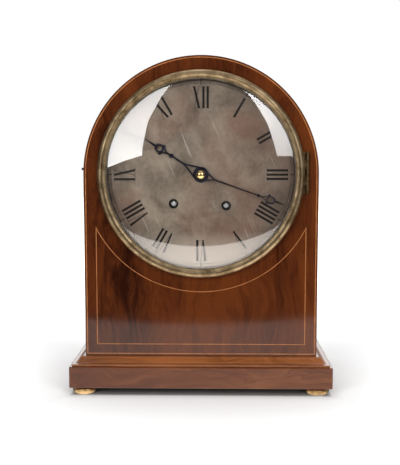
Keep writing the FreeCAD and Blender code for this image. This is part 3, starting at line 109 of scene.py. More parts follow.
def add(tree, kind, inputs=None, stops=None, **settings):
    """Adds one node, sets its properties and its ramp's stops, and gives each input a value,
    or links it to a socket or to another node's first output."""
    node = tree.nodes.new("ShaderNode" + kind)
    for name, value in settings.items():
        setattr(node, name, value)
    for key, value in (inputs or {}).items():
        if isinstance(value, bpy.types.Node):
            value = value.outputs[0]
        if isinstance(value, bpy.types.NodeSocket):
            tree.links.new(value, node.inputs[key])
        else:
            node.inputs[key].default_value = value
    if stops:
        elements = node.color_ramp.elements
        while len(elements) < len(stops):
            elements.new(0.5)
        for element, (place, colour) in zip(elements, stops):
            element.position, element.color = place, colour
    return node


def placed(tree):
    """The piece's own coordinates, in metres."""
    return add(tree, "TexCoord").outputs["Object"]


def stretch(tree, vector, *scale):
    """Coordinates with each axis multiplied by its scale."""
    return add(tree, "Mapping", {"Vector": vector, "Scale": scale})


def noise(tree, vector, scale, detail, roughness=0.5, distortion=0.0):
    """Cloudy noise, with cells as wide as one over scale."""
    return add(tree, "TexNoise", {"Vector": vector, "Scale": scale, "Detail": detail,
                                  "Roughness": roughness, "Distortion": distortion})


def ramp(tree, value, *stops):
    """A value turned into a colour by stops of (place, colour or its hex code)."""
    return add(tree, "ValToRGB", {"Fac": value},
               [(place, linear(colour) if isinstance(colour, str) else colour) for place, colour in stops])


def spread(tree, value, low, high, start=0.0, end=1.0):
    """The run of a value from start to end drawn out from low to high."""
    return add(tree, "MapRange", {"Value": value, "From Min": start, "From Max": end,
                                  "To Min": low, "To Max": high})


def calc(tree, operation, *values):
    """One step of arithmetic."""
    return add(tree, "Math", dict(enumerate(values)), operation=operation)


def blend(tree, share, one, other):
    """Two colours mixed: none of the other at share 0 and all of it at 1."""
    return add(tree, "Mix", {0: share, 6: one, 7: other}, data_type="RGBA").outputs[2]


def length_of(tree, vector):
    """How long a vector is."""
    return add(tree, "VectorMath", {0: vector}, operation="LENGTH").outputs["Value"]


def surface(tree, colour, rough, relief=None, **more):
    """The surface shader. Relief is (height, strength, depth in metres), and an underscore in
    a further input's name stands for a space."""
    inputs = {"Base Color": colour, "Roughness": rough}
    if relief:
        inputs["Normal"] = add(tree, "Bump", dict(zip(("Height", "Strength", "Distance"), relief)))
    inputs.update((name.replace("_", " "), value) for name, value in more.items())
    return add(tree, "BsdfPrincipled", inputs)


# ---------------------------------------------------------------- finishes


def polished_wood(tree, dark, mid, light, film):
    """Mahogany under French polish: ribbons that wander along the grain, dark heart streaks,
    short pores, and a thin film with a weak shine that is as rough as film says."""
    grain = add(tree, "Attribute", attribute_name="grain").outputs["Vector"]
    # the heart figure wanders over about 45 mm across the grain and 120 mm along it
    drift = stretch(tree, grain, 22, 8, 22)
    bend = noise(tree, drift, 1.0, 3.0, 0.55, 0.9).outputs["Color"]
    push = add(tree, "VectorMath", {0: bend, 1: (0.044, 0.016, 0.0)}, operation="MULTIPLY")
    bent = add(tree, "VectorMath", {0: grain, 1: push}, operation="ADD")
    # ribbons about 11 mm wide and 70 mm long
    ribbon = noise(tree, stretch(tree, bent, 90, 14, 60), 1.0, 4.0, 0.6, 0.4)
    # growth lines about 1.6 mm apart, drawn coarser than the real 0.5 mm so that they show
    line = noise(tree, stretch(tree, bent, 640, 22, 300), 1.0, 3.0, 0.6)
    # pores 0.35 mm wide and 3 mm long
    pore = noise(tree, stretch(tree, grain, 2900, 330, 2900), 1.0, 1.0)
    pores = ramp(tree, pore, (0.60, grey(0)), (0.70, grey(1)))
    cloud = noise(tree, drift, 0.8, 2.0)
    # the left of the log is nearer its dark heart
    heart = spread(tree, add(tree, "SeparateXYZ", {0: placed(tree)}), -0.03, 0.04, -0.13, 0.13)
    # one dark flame, 30 mm wide and 110 mm long, to the left of the panel's middle
    lean = add(tree, "Mapping", {"Vector": bent, "Location": (-0.058, 0.128, -0.062), "Rotation": (0.0, 0.0, 0.16),
                                 "Scale": (0.017, 0.062, 1.0)}, vector_type="TEXTURE")
    flame = spread(tree, length_of(tree, lean), 0.13, 0.0, 0.1, 1.6)
    share = calc(tree, "SUBTRACT", heart, flame)
    for part, weight in ((ribbon, 0.55), (line, 0.25), (cloud, 0.30)):
        share = calc(tree, "MULTIPLY_ADD", part, weight, share)
    colour = ramp(tree, share, (0.38, dark), (0.51, mid), (0.65, light))
    filled = blend(tree, calc(tree, "MULTIPLY", pores, 0.35), colour, dark)
    rough = spread(tree, noise(tree, grain, 60.0, 4.0), film, film * 1.6, 0.3, 0.7)
    return surface(tree, filled, rough, (line, 0.08, 0.0001), IOR=1.5, Specular_IOR_Level=0.19)


def mahogany(tree):
    """Mahogany veneer, knife cut and polished: dark red-brown."""
    tone = colours()
    return polished_wood(tree, tone.wood_dark, tone.wood_mid, tone.wood_light, 0.07)


def solid_mahogany(tree):
    """Mahogany planed for the plinth: the same wood, faded a little lighter."""
    tone = colours()
    return polished_wood(tree, tone.wood_mid, tone.wood_light, tone.base_light, 0.10)


def moulded_mahogany(tree):
    """Mahogany run to a moulding with a scraper, which handling keeps the lightest of all."""
    tone = colours()
    return polished_wood(tree, tone.wood_light, tone.base_light, linear("#8d532c"), 0.10)


def bent_mahogany(tree):
    """The same veneer on the bent sides and at the back, polished with fewer coats: the grain
    is more open and the shine is broad."""
    tone = colours()
    return polished_wood(tree, tone.wood_dark, tone.wood_mid, tone.wood_light, 0.27)


def boxwood(tree):
    """Boxwood line, planed flush and polished with the veneer: pale honey, almost without grain."""
    tone = colours().line
    dull = tuple(channel * 0.72 for channel in tone[:3]) + (1.0,)
    # faint clouding 8 mm long
    colour = ramp(tree, noise(tree, placed(tree), 120.0, 3.0), (0.35, dull), (0.62, tone))
    return surface(tree, colour, 0.2, IOR=1.5, Specular_IOR_Level=0.17)


def beech(tree):
    """Beech, planed and left plain: pale pinkish brown with darker streaks along it."""
    # streaks 40 mm long and 1.5 mm apart
    line = noise(tree, stretch(tree, placed(tree), 25, 650, 650), 1.0, 3.0)
    return surface(tree, ramp(tree, line, (0.35, "#7a5534"), (0.65, "#a67c52")), 0.7, Specular_IOR_Level=0.3)


def tarnished(tree, dull, bright, smooth):
    """Brass under old lacquer: dull patches, brighter ones, and a roughness that follows them."""
    place = placed(tree)
    # tarnish in patches of about 12 mm, with finer spots of 1.5 mm
    patch = noise(tree, place, 80.0, 4.0, 0.62)
    mixed = calc(tree, "MULTIPLY_ADD", noise(tree, place, 650.0, 2.0), 0.25, patch)
    rough = spread(tree, mixed, smooth + 0.12, smooth, 0.45, 0.75)
    return surface(tree, ramp(tree, mixed, (0.45, dull), (0.72, bright)), rough, (mixed, 0.10, 0.0002), Metallic=1.0)


def spun_brass(tree):
    """Brass sheet spun over a former, lacquered long ago: the polish has gone a dull olive-brown."""
    return tarnished(tree, colours().brass_dull, colours().brass, 0.42)


def cast_brass(tree):
    """Cast and turned brass feet, kept bright where hands and dusters reach them."""
    return tarnished(tree, "#634d30", "#9a7f57", 0.34)


def drawn_brass(tree):
    """Drawn brass hinge stock, never polished since it was let in: brown, nearly matt."""
    return tarnished(tree, "#3a2c1e", "#6b573b", 0.40)


def turned_brass(tree):
    """Brass turned from the bar and burnished: pale gold with sharp reflections."""
    return tarnished(tree, "#a88a52", "#d8bf8a", 0.12)


def plate_brass(tree):
    """Cast brass sheet, filed and stoned along its length: warm yellow with fine straight lines."""
    place = placed(tree)
    # stoning lines 0.3 mm apart and 30 mm long, on clouds of 22 mm
    line = noise(tree, stretch(tree, place, 3300, 3300, 33), 1.0, 2.0)
    colour = ramp(tree, noise(tree, place, 45.0, 3.0), (0.35, "#a5843f"), (0.65, "#bf9c58"))
    return surface(tree, colour, spread(tree, line, 0.28, 0.44), (line, 0.08, 0.0001), Metallic=1.0)


def bell_bronze(tree):
    """Bell metal, cast and turned: pale yellow-grey with turning rings round the bell."""
    place = placed(tree)
    centred = add(tree, "Mapping", {"Vector": place, "Location": (0.0, 0.014, 0.0)})
    # rings 2.4 mm apart, on clouds of 17 mm
    ring = add(tree, "TexWave", {"Vector": centred, "Scale": 130.0, "Distortion": 0.6, "Detail": 2.0},
               wave_type="RINGS", rings_direction="Z")
    colour = ramp(tree, noise(tree, place, 60.0, 3.0), (0.35, "#8a7a50"), (0.65, "#b5a273"))
    return surface(tree, colour, spread(tree, ring, 0.24, 0.36), (ring, 0.12, 0.0001), Metallic=1.0)


def bright_steel(tree):
    """Carbon steel, hardened and polished on a buff: cool grey with faint smears."""
    # smears about 12 mm across
    smear = noise(tree, placed(tree), 80.0, 3.0)
    return surface(tree, ramp(tree, smear, (0.35, "#9c9c9d"), (0.65, "#c4c3c1")), spread(tree, smear, 0.36, 0.48),
                   Metallic=1.0)


def blued_steel(tree):
    """Steel blued over a flame and darkened with age: near black, with a blue cast in the light."""
    # the heat colours shift over about 6 mm
    heat = noise(tree, placed(tree), 160.0, 2.0)
    return surface(tree, ramp(tree, heat, (0.35, "#17171f"), (0.65, "#2b2b3a")), 0.34, Metallic=0.85)


def black_wax_and_painted_shade(tree):
    """Black sealing wax melted into the engraving and stoned flush: matt, a little brown. The black sleeves in the
    winding holes take it too, as painted shade.
    """
    # worn spots about 1 mm across
    spot = noise(tree, placed(tree), 900.0, 2.0)
    return surface(tree, ramp(tree, spot, (0.45, "#0b0807"), (0.75, "#1d1613")), 0.6, Specular_IOR_Level=0.1)


def wax_thin(tree):
    """The same wax in hairlines, worn thin, so that the silver greys it."""
    # worn spots about 3 mm across
    spot = noise(tree, placed(tree), 300.0, 2.0)
    return surface(tree, ramp(tree, spot, (0.40, "#1d1613"), (0.70, "#3a2f2a")), 0.6, Specular_IOR_Level=0.1)


def silvered_brass(tree):
    """Brass silvered with rubbed paste and lacquered: matt grey that has turned brown and rosy
    in clouds, darker towards the rim, with a few bright hairline scratches, and lighter towards the bottom edge with a
    painted reflection of the bright floor."""
    place = placed(tree)
    centred = add(tree, "Mapping", {"Vector": place, "Location": (0.0, 0.0, -HUB * MM)})
    flat = add(tree, "VectorMath", {0: centred, 1: (1.0, 0.0, 1.0)}, operation="MULTIPLY")
    # clouds about 35 mm across, with finer mottling of 4 mm
    mixed = calc(tree, "MULTIPLY_ADD", noise(tree, place, 260.0, 3.0), 0.22, noise(tree, place, 28.0, 5.0, 0.55, 0.5))
    # the strokes of the rubbing, 0.8 mm apart and 25 mm long, drawn coarser than the real 0.3 mm
    stroke = noise(tree, stretch(tree, place, 1200, 1, 40), 1.0, 2.0)
    mixed = calc(tree, "MULTIPLY_ADD", stroke, 0.12, mixed)
    colour = ramp(tree, mixed, (0.44, colours().silver_dull), (0.86, colours().silver))
    # a rosy blush in clouds of 50 mm
    blush = ramp(tree, noise(tree, place, 19.0, 2.0), (0.45, grey(0)), (0.68, grey(0.5)))
    colour = blend(tree, blush, colour, linear("#6a4636"))
    # more worn to the right, where the hand that opens the bezel rests
    side = add(tree, "SeparateXYZ", {0: place}).outputs
    colour = blend(tree, spread(tree, side["X"], 0.0, 0.35, 0.0, 0.10), colour, linear("#4f3327"))
    # darker over the outer 32 mm
    rim = spread(tree, length_of(tree, flat), 0.0, 0.45, 0.070, 0.102)
    colour = blend(tree, rim, colour, colours().silver_dull)
    # painted reflection: lighter towards the bottom edge, where the glass shows the bright floor in front
    kept = spread(tree, side["Z"], 0.0, 0.75, (HUB - 60) * MM, (HUB - 92) * MM)
    colour = blend(tree, kept, colour, linear("#b3a698"))
    # scratches: thin slanting lines, wide apart
    slant = add(tree, "Mapping", {"Vector": place, "Rotation": (0.0, -0.38, 0.0), "Scale": (0.0022, 1.0, 0.055)},
                vector_type="TEXTURE")
    bright = ramp(tree, noise(tree, slant, 1.0, 1.0), (0.69, grey(0)), (0.74, grey(0.6)))
    colour = blend(tree, bright, colour, linear("#9a8f87"))
    return surface(tree, colour, spread(tree, mixed, 0.52, 0.42), Metallic=0.55)


def keeper_silver(tree):
    """Tin-plated strip, bent and soldered: dull grey, soft reflections."""
    # spangles about 7 mm across
    spot = noise(tree, placed(tree), 150.0, 3.0)
    return surface(tree, ramp(tree, spot, (0.35, "#6f6a62"), (0.65, "#9b968c")), 0.42, Metallic=1.0)


def clear_glass(tree):
    """Crown glass, bent over a mould and polished: clear, with sharp reflections. Light from
    the lamps goes straight through it, so that the dial under it is lit."""
    path = add(tree, "LightPath").outputs
    lamp = calc(tree, "MAXIMUM", path["Is Shadow Ray"], path["Is Diffuse Ray"])
    body = surface(tree, (1, 1, 1, 1), 0.0, IOR=1.5, Transmission_Weight=1.0)
    through = add(tree, "BsdfTransparent", {"Color": (0.97, 0.97, 0.97, 1)})
    return add(tree, "MixShader", {0: lamp, 1: body, 2: through})


MADE = {}


def finish(make):
    """The material that a finish's function describes, made once and named for it."""
    if make.__name__ not in MADE:
        material = MADE[make.__name__] = bpy.data.materials.new(make.__name__)
        tree = blank(material)
        add(tree, "OutputMaterial", {"Surface": make(tree)})
    return MADE[make.__name__]


def dress(make, *nodes):
    """Gives carried-over nodes a finish."""
    for node in nodes:
        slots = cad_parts[node].data.materials
        slots.clear()
        slots.append(finish(make))


# ---------------------------------------------------------------- surfaces


def outward(points, faces):
    """Keeps the points in use and turns the shell's faces outward: the sum of the triple
    products of each face's corners is six times the volume, and is negative if they point in."""
    used, flat = np.unique(np.concatenate([face.ravel() for face in faces]), return_inverse=True)
    points, start, kept = np.asarray(points)[used], 0, []
    for face in faces:
        kept.append(flat[start : start + face.size].reshape(face.shape))
        start += face.size
    volume = 0.0
    for face in kept:
        corner = points[face][..., :3]
        volume += sum(np.einsum("ij,ij->", corner[:, 0], np.cross(corner[:, k], corner[:, k + 1]))
                      for k in range(1, face.shape[1] - 1))
    return points, [face[:, ::-1] for face in kept] if volume < 0 else kept


def lofted(rings, closed=False, start="cap", end="cap"):
    """A shell through a stack of matching closed rings: four-sided faces join each ring to the
    next. The stack closes on itself, or each end is one flat cap or a single point."""
    rings = np.asarray(rings, float)
    rows, count = rings.shape[:2]
    index = np.arange(rows * count).reshape(rows, count)
    faces = []
    if closed:
        lower, upper = index, np.roll(index, -1, 0)
    else:
        first, last = (start == "point"), rows - (end == "point")
        lower, upper = index[first : last - 1], index[first + 1 : last]
        if start == "cap":
            faces.append(index[:1, ::-1])
        else:
            faces.append(np.stack([np.full(count, index[0, 0]), np.roll(index[1], -1), index[1]], -1))
        if end == "cap":
            faces.append(index[-1:])
        else:
            faces.append(np.stack([index[-2], np.roll(index[-2], -1), np.full(count, index[-1, 0])], -1))
    faces.append(np.stack([lower, np.roll(lower, -1, 1), np.roll(upper, -1, 1), upper], -1).reshape(-1, 4))
    return outward(rings.reshape(rows * count, -1), faces)


def walled(outer, inner, keep):
    """A shell between two matching grids: the cells kept on both, and a wall between the grids
    along every edge that has a kept cell on one side only."""
    rows, columns = outer.shape[:2]
    size = rows * columns
    index = np.arange(size).reshape(rows, columns)
    cells = np.stack([index[:-1, :-1], index[:-1, 1:], index[1:, 1:], index[1:, :-1]], -1)[keep]
    faces = [cells, cells[:, ::-1] + size]
    padded = np.pad(keep, 1)
    above, below = padded[:-1, 1:-1], padded[1:, 1:-1]
    left, right = padded[1:-1, :-1], padded[1:-1, 1:]
    for a, b, one, other in ((index[:, :-1], index[:, 1:], below, above), (index[1:], index[:-1], right, left)):
        for near, far, here in ((a, b, one & ~other), (b, a, other & ~one)):
            p, q = near[here], far[here]
            faces.append(np.stack([q, p, p + size, q + size], -1))
    points = np.concatenate([outer.reshape(size, -1), inner.reshape(size, -1)])
    return outward(points, [face for face in faces if len(face)])


def turned(profile, centre, axis="z", steps=96, closed=False):
    """A profile of (radius, height) points turned about an axis: each point becomes a circle of
    its radius at its height. Height runs up +Z, or towards the viewer along -Y."""
    profile = np.asarray(profile, float)
    angle = np.linspace(0, 2 * math.pi, steps, endpoint=False)
    across, along = np.cos(angle)[None] * profile[:, :1], np.sin(angle)[None] * profile[:, :1]
    height = np.broadcast_to(profile[:, 1:], across.shape)
    order = {"z": (across, along, height), "y": (across, -height, along)}[axis]
    rings = np.stack(order, -1) + np.asarray(centre, float)
    ends = ["point" if row[0] < 1e-9 else "cap" for row in (profile[0], profile[-1])]
    return lofted(rings, closed, *ends)


def arc(start, end, radius, side, steps=10):
    """Points of the arc of that radius from one point to another. With side 1 it bulges to the
    left of the way from start to end, and with -1 to the right."""
    start, end = np.asarray(start, float), np.asarray(end, float)
    half = (end - start) / 2
    reach = np.hypot(*half)
    normal = np.array([-half[1], half[0]]) / reach
    centre = start + half - side * normal * math.sqrt(max(radius**2 - reach**2, 0))
    first, last = (math.atan2(*(point - centre)[::-1]) for point in (start, end))
    sweep = (last - first + math.pi) % (2 * math.pi) - math.pi
    angle = first + np.linspace(0, 1, steps + 1) * sweep
    return [(centre[0] + radius * math.cos(a), centre[1] + radius * math.sin(a)) for a in angle]


def round_rectangle(low, high, radius, steps=3):
    """The corners of a rectangle rounded by quarter circles, as one closed ring in X and Y."""
    quarter = np.linspace(0, math.pi / 2, steps + 1)
    rows = []
    for turn, side in enumerate(((1, 1), (-1, 1), (-1, -1), (1, -1))):
        angle = quarter + turn * math.pi / 2
        centre = np.where(np.array(side) > 0, high, low) - np.array(side) * radius
        rows.append(centre + radius * np.stack([np.cos(angle), np.sin(angle)], -1))
    return np.concatenate(rows)


def block(low, high, radius=0.4, steps=3):
    """A box with all its edges rounded: round rectangles stacked up Z, drawn in at both ends
    by a quarter circle."""
    low, high = np.asarray(low, float), np.asarray(high, float)
    radius = min(radius, *(0.45 * (high - low)))
    angle = np.linspace(0, math.pi / 2, steps + 1)
    levels = [(radius * (1 - math.sin(a)), low[2] + radius * (1 - math.cos(a))) for a in angle]
    levels += [(inset, low[2] + high[2] - height) for inset, height in levels[::-1]]
    stack = []
    for inset, height in levels:
        ring = round_rectangle(low[:2] + inset, high[:2] - inset, radius - inset + 0.02, steps)
        stack.append(np.column_stack([ring, np.full(len(ring), height)]))
    return lofted(stack)


def in_scene(name, data):
    """A new object, linked to the scene."""
    item = bpy.data.objects.new(name, data)
    bpy.context.scene.collection.objects.link(item)
    return item


def put(name, shells, make, body, slot, *nodes, angle=30):
    """Writes a finished piece from its shells. Columns past the third are its grain: how far
    each point lies across the grain, along it and in from the face."""
    shells = [shells] if isinstance(shells, tuple) else shells
    shift, faces = 0, []
    for points, parts in shells:
        faces += [row for part in parts for row in (part + shift).tolist()]
        shift += len(points)
    points = np.concatenate([points for points, parts in shells]) * MM
    mesh = bpy.data.meshes.new(name)
    mesh.from_pydata(points[:, :3], [], faces)
    if points.shape[1] > 3:
        grain = mesh.attributes.new("grain", "FLOAT_VECTOR", "POINT")
        grain.data.foreach_set("vector", points[:, 3:6].astype(np.float32).ravel())
    mesh.shade_smooth()
    mesh.set_sharp_from_angle(angle=math.radians(angle))
    mesh.materials.append(finish(make))
    piece = in_scene(name, mesh)
    # flat faces keep their own direction up to the rounded edges
    piece.modifiers.new("weighted", "WEIGHTED_NORMAL").keep_sharp = True
    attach(piece, body)
    if nodes:
        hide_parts(*nodes)


# ---------------------------------------------------------------- case

BOTTOM, SIDE, OVER = 20, 24, 120  # steps along an arch's base, each side and its curve


def steps_of(count):
    """The parts of a run: count shares from 0, without the last."""
    return np.linspace(0, 1, count, endpoint=False)


def arch_ring(half, base, along):
    """The closed outline of an arch: straight along the base, up one side to the height of the
    dial's centre, round a half circle about it, and down the other side."""
    base_line, rise, turn = steps_of(BOTTOM), steps_of(SIDE), steps_of(OVER) * math.pi
    x = np.concatenate([(2 * base_line - 1) * half, np.full(SIDE, half), half * np.cos(turn), np.full(SIDE, -half)])
    z = np.concatenate([np.full(BOTTOM, base), base + (HUB - base) * rise, HUB + half * np.sin(turn),
                        HUB - (HUB - base) * rise])
    return np.column_stack([x, np.full(len(x), along), z])


def faced(ring, offset=0.0):
    """Adds the grain of an upright board: X is across it and Z along it."""
    return np.column_stack([ring, ring[:, 0] + offset, ring[:, 2], ring[:, 1]])


def edged(ring):
    """Adds the grain of the veneer bent over the case: Y is across it, and it runs from the foot
    of the right side up and over."""
    wall, over = HUB - PLINTH_TOP, math.pi * CASE_HALF
    run = np.concatenate([np.full(BOTTOM, 0.0), steps_of(SIDE) * wall, wall + steps_of(OVER) * over,
                          wall + over + steps_of(SIDE) * wall])
    return np.column_stack([ring, ring[:, 1] + BENT_ACROSS, run + BENT_ALONG, np.zeros(len(ring))])


def board_rings(face, into, arris, offset=0.0):
    """The outside of a board: from its hidden side, into the case from its face, to the edge,
    and round the arris by a quarter circle onto the face."""
    rings = [edged(arch_ring(CASE_HALF, PLINTH_TOP, face + into * depth)) for depth in (BOARD, arris)]
    for turn in np.linspace(0.25, 1, 4) * math.pi / 2:
        inset, depth = arris * (1 - math.cos(turn)), arris * (1 - math.sin(turn))
        rings.append(faced(arch_ring(CASE_HALF - inset, PLINTH_TOP + inset, face + into * depth), offset))
    return rings


class CLOCK_OT_boards(bpy.types.Operator):
    """Makes the arched front board and the arched back board with its doorway"""

    bl_idname = "clock.boards"
    bl_label = "Front and back boards"

    def execute(self, context):
        arris = context.scene.clock_case.arris / MM
        hole, front, behind = DIAL_RADIUS + 0.4, CASE_FRONT, CASE_FRONT + BOARD
        rings = board_rings(front, 1, arris)
        # each point of the dial's hole lies in the same direction as its point of the outline
        like = arch_ring(CASE_HALF, PLINTH_TOP, front)
        angle = np.arctan2(like[:, 2] - HUB, like[:, 0])
        for radius, along in ((hole + 0.3, front), (hole, front + 0.3), (hole, behind)):
            rings.append(faced(np.column_stack([radius * np.cos(angle), np.full(len(angle), along),
                                                HUB + radius * np.sin(angle)])))
        put("front_board_veneered", lofted(rings, closed=True), mahogany, "case", "case_wood", "front_board")
        half, base, back = 92.0, PLINTH_TOP + 34, CASE_BACK
        rings = board_rings(back, -1, arris, BACK_START)
        for inset, along in ((0.4, back), (0, back - 0.4), (0, back - BOARD)):
            rings.append(faced(arch_ring(half + inset, base - inset, along), BACK_START))
        put("back_board_veneered", lofted(rings, closed=True), bent_mahogany, "case", "case_wood", "back_board")
        return {"FINISHED"}


class CLOCK_OT_shell(bpy.types.Operator):
    """Makes the bent sides and arch, with the slot for the lever"""

    bl_idname = "clock.shell"
    bl_label = "Bent sides and arch"

    def execute(self, context):
        slot_y, slot_z = (-11.5, -8.5), (236.2, 245.2)
        lower, upper = (math.pi - math.asin((height - HUB) / CASE_HALF) for height in slot_z)
        turn = np.sort(np.append(np.linspace(0, math.pi, OVER + 1), [lower, upper]))
        rise = np.linspace(PLINTH_TOP, HUB, SIDE + 1)[:-1]
        wall = HUB - PLINTH_TOP
        run = np.concatenate([rise - PLINTH_TOP, wall + turn * CASE_HALF,
                              wall + math.pi * CASE_HALF + (HUB - rise[::-1])])
        columns = np.sort(np.append(np.linspace(CASE_FRONT + BOARD, CASE_BACK - BOARD, 17), slot_y))

        def skin(half):
            """Up the right side, over the half circle and down the left, for every depth."""
            x = np.concatenate([np.full(SIDE, half), half * np.cos(turn), np.full(SIDE, -half)])
            z = np.concatenate([rise, HUB + half * np.sin(turn), rise[::-1]])
            return np.stack(np.broadcast_arrays(x[:, None], columns[None], z[:, None], columns[None] + BENT_ACROSS,
                                                run[:, None] + BENT_ALONG, 0.0), -1)

        keep = np.ones((len(run) - 1, len(columns) - 1), bool)
        first, last = (SIDE + int(np.argmin(abs(turn - end))) for end in (upper, lower))
        keep[first:last, int(np.argmin(abs(columns - slot_y[0])))] = False
        put("case_shell_veneered", walled(skin(CASE_HALF), skin(CASE_HALF - BOARD), keep), bent_mahogany,
            "case", "case_wood", "case_shell")
        return {"FINISHED"}


class CLOCK_OT_lines(bpy.types.Operator):
    """Makes the boxwood line round the edge and the one round the panel"""

    bl_idname = "clock.lines"
    bl_label = "Boxwood lines"

    def execute(self, context):
        proud = CASE_FRONT - context.scene.clock_case.line_proud / MM
        deep = CASE_FRONT + 0.4

        def edge(side, along):
            """The case's outline drawn in by side, above the moulding."""
            return arch_ring(CASE_HALF - side, PLINTH_TOP + MOULDING + side, along)

        def panel(side, along):
            """Along the bottom, up the right side, along the arc that follows the bezel, and
            down the left side, all moved out by side."""
            half, radius, base = 112.0 + side, 125.6 - side, PLINTH_TOP + 21.75 - side
            reach = math.asin(half / radius)
            angle = reach - 2 * reach * steps_of(64)
            shoulder = HUB - math.sqrt(radius**2 - half**2)
            x = np.concatenate([(2 * steps_of(16) - 1) * half, np.full(12, half), radius * np.sin(angle),
                                np.full(12, -half)])
            z = np.concatenate([np.full(16, base), base + (shoulder - base) * steps_of(12),
                                HUB - radius * np.cos(angle), shoulder - (shoulder - base) * steps_of(12)])
            return np.column_stack([x, np.full(len(x), along), z])

        for name, path, near, far, node in (("edge_line", edge, 1.75, 2.75, "edge_stringing"),
                                            ("panel_line", panel, 0.42, -0.42, "panel_stringing")):
            rings = [path(near, deep), path(near, proud), path(far, proud), path(far, deep)]
            put(name, lofted(rings, closed=True), boxwood, "case", "line_wood", node)
        return {"FINISHED"}


class CLOCK_OT_base(bpy.types.Operator):
    """Makes the plinth, the ogee moulding on it and the four bun feet"""

    bl_idname = "clock.base"
    bl_label = "Plinth, moulding and feet"

    def execute(self, context):
        points, faces = block(*(np.array(corner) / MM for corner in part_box("plinth")), 0.9, 4)
        grain = np.column_stack([points[:, 2] + points[:, 1], points[:, 0] + PLINTH_START, points[:, 1]])
        put("plinth_veneered", (np.column_stack([points, grain]), faces), solid_mahogany, "case", "case_wood",
            "plinth")
        # the moulding's section: a fillet, an ogee of two arcs and a level top
        profile = ([(0, 0), (12.8, 0), (13, 0.3), (13, 1.9), (12.7, 2.2)]
                   + arc((10.6, 2.2), (5.9, 5.6), 4.5, 1, 8) + arc((5.9, 5.6), (1.2, MOULDING), 4.5, -1, 8)[1:]
                   + [(0, MOULDING)])
        out, up = np.array(profile).T
        rows, run = [], 0.0
        length = np.cumsum(np.append(0, np.hypot(np.diff(out), np.diff(up))))
        deep = CASE_BACK - CASE_FRONT
        for x, in_front, way in ((-1, False, 0.0), (-1, True, deep), (1, True, 2 * CASE_HALF), (1, False, deep)):
            run += way
            along = CASE_FRONT - out if in_front else np.full(len(out), CASE_BACK)
            rows.append(np.column_stack([x * (CASE_HALF + out), along, PLINTH_TOP + up, length + MOULDING_START,
                                         np.full(len(out), run), np.zeros(len(out))]))
        put("base_moulding_ogee", lofted(rows), moulded_mahogany, "case", "case_wood", "base_moulding")
        bun = ([(0, 0), (9.2, 0), (10, 0.2)] + arc((10, 0.2), (10, 7.2), 3.51, -1, 16)[1:]
               + [(9.6, 7.5), (9.4, 8.0), (2.5, 8.0), (2.5, 19.4), (0, 19.4)])
        for side in ("left", "right"):
            for end in ("front", "back"):
                low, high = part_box(f"foot_{end}_{side}")
                centre = ((low.x + high.x) / 2 / MM, (low.y + high.y) / 2 / MM, 0)
                put(f"bun_{end}_{side}", turned(bun, centre, steps=64), cast_brass, "case", "case_brass",
                    f"foot_{end}_{side}")
        return {"FINISHED"}


# ---------------------------------------------------------------- dial and bezel

# Each letter is its strokes, from the top to the foot, as (x at the top, x at the foot, how wide
# at the top, how wide at the foot), and how much room it takes. The second stroke of V and of X
# is a hairline.
LETTERS = {
    "I": ([(0, 0, 2.45, 2.45)], 4.5),
    "V": ([(-2.5, 0.0, 2.6, 1.5), (2.4, 0.3, 0.6, 0.6)], 7.6),
    "X": ([(-2.6, 2.6, 2.45, 2.45), (2.6, -2.8, 0.6, 0.6)], 9.9),
}
HOURS = ["XII", "I", "II", "III", "IIII", "V", "VI", "VII", "VIII", "IX", "X", "XI"]
SERIF_HALF, SERIF_THICK = 1.9, 0.4


def slabs(corners, front, back):
    """Thin plates from their outlines: each row of four (x, z) corners becomes a prism between
    two depths, and all of them are made as one array."""
    corners = np.asarray(corners, float)
    points = np.empty((len(corners), 8, 3))
    points[..., 0] = np.tile(corners[..., 0], 2)
    points[..., 1] = np.repeat([front, back], 4)
    points[..., 2] = np.tile(corners[..., 1], 2)
    sides = np.array([[0, 1, 2, 3], [7, 6, 5, 4], [0, 4, 5, 1], [1, 5, 6, 2], [2, 6, 7, 3], [3, 7, 4, 0]])
    return [outward(plate, [sides]) for plate in points]


def polar(angle, across, out):
    """A point beside a spoke of the dial: the spoke is angle degrees clockwise from twelve, out
    is how far along it and across how far to its right."""
    turn = math.radians(angle)
    return (across * math.cos(turn) + out * math.sin(turn), HUB - across * math.sin(turn) + out * math.cos(turn))


def beside(angle, *corners):
    """The outline whose corners lie beside one spoke."""
    return [polar(angle, across, out) for across, out in corners]


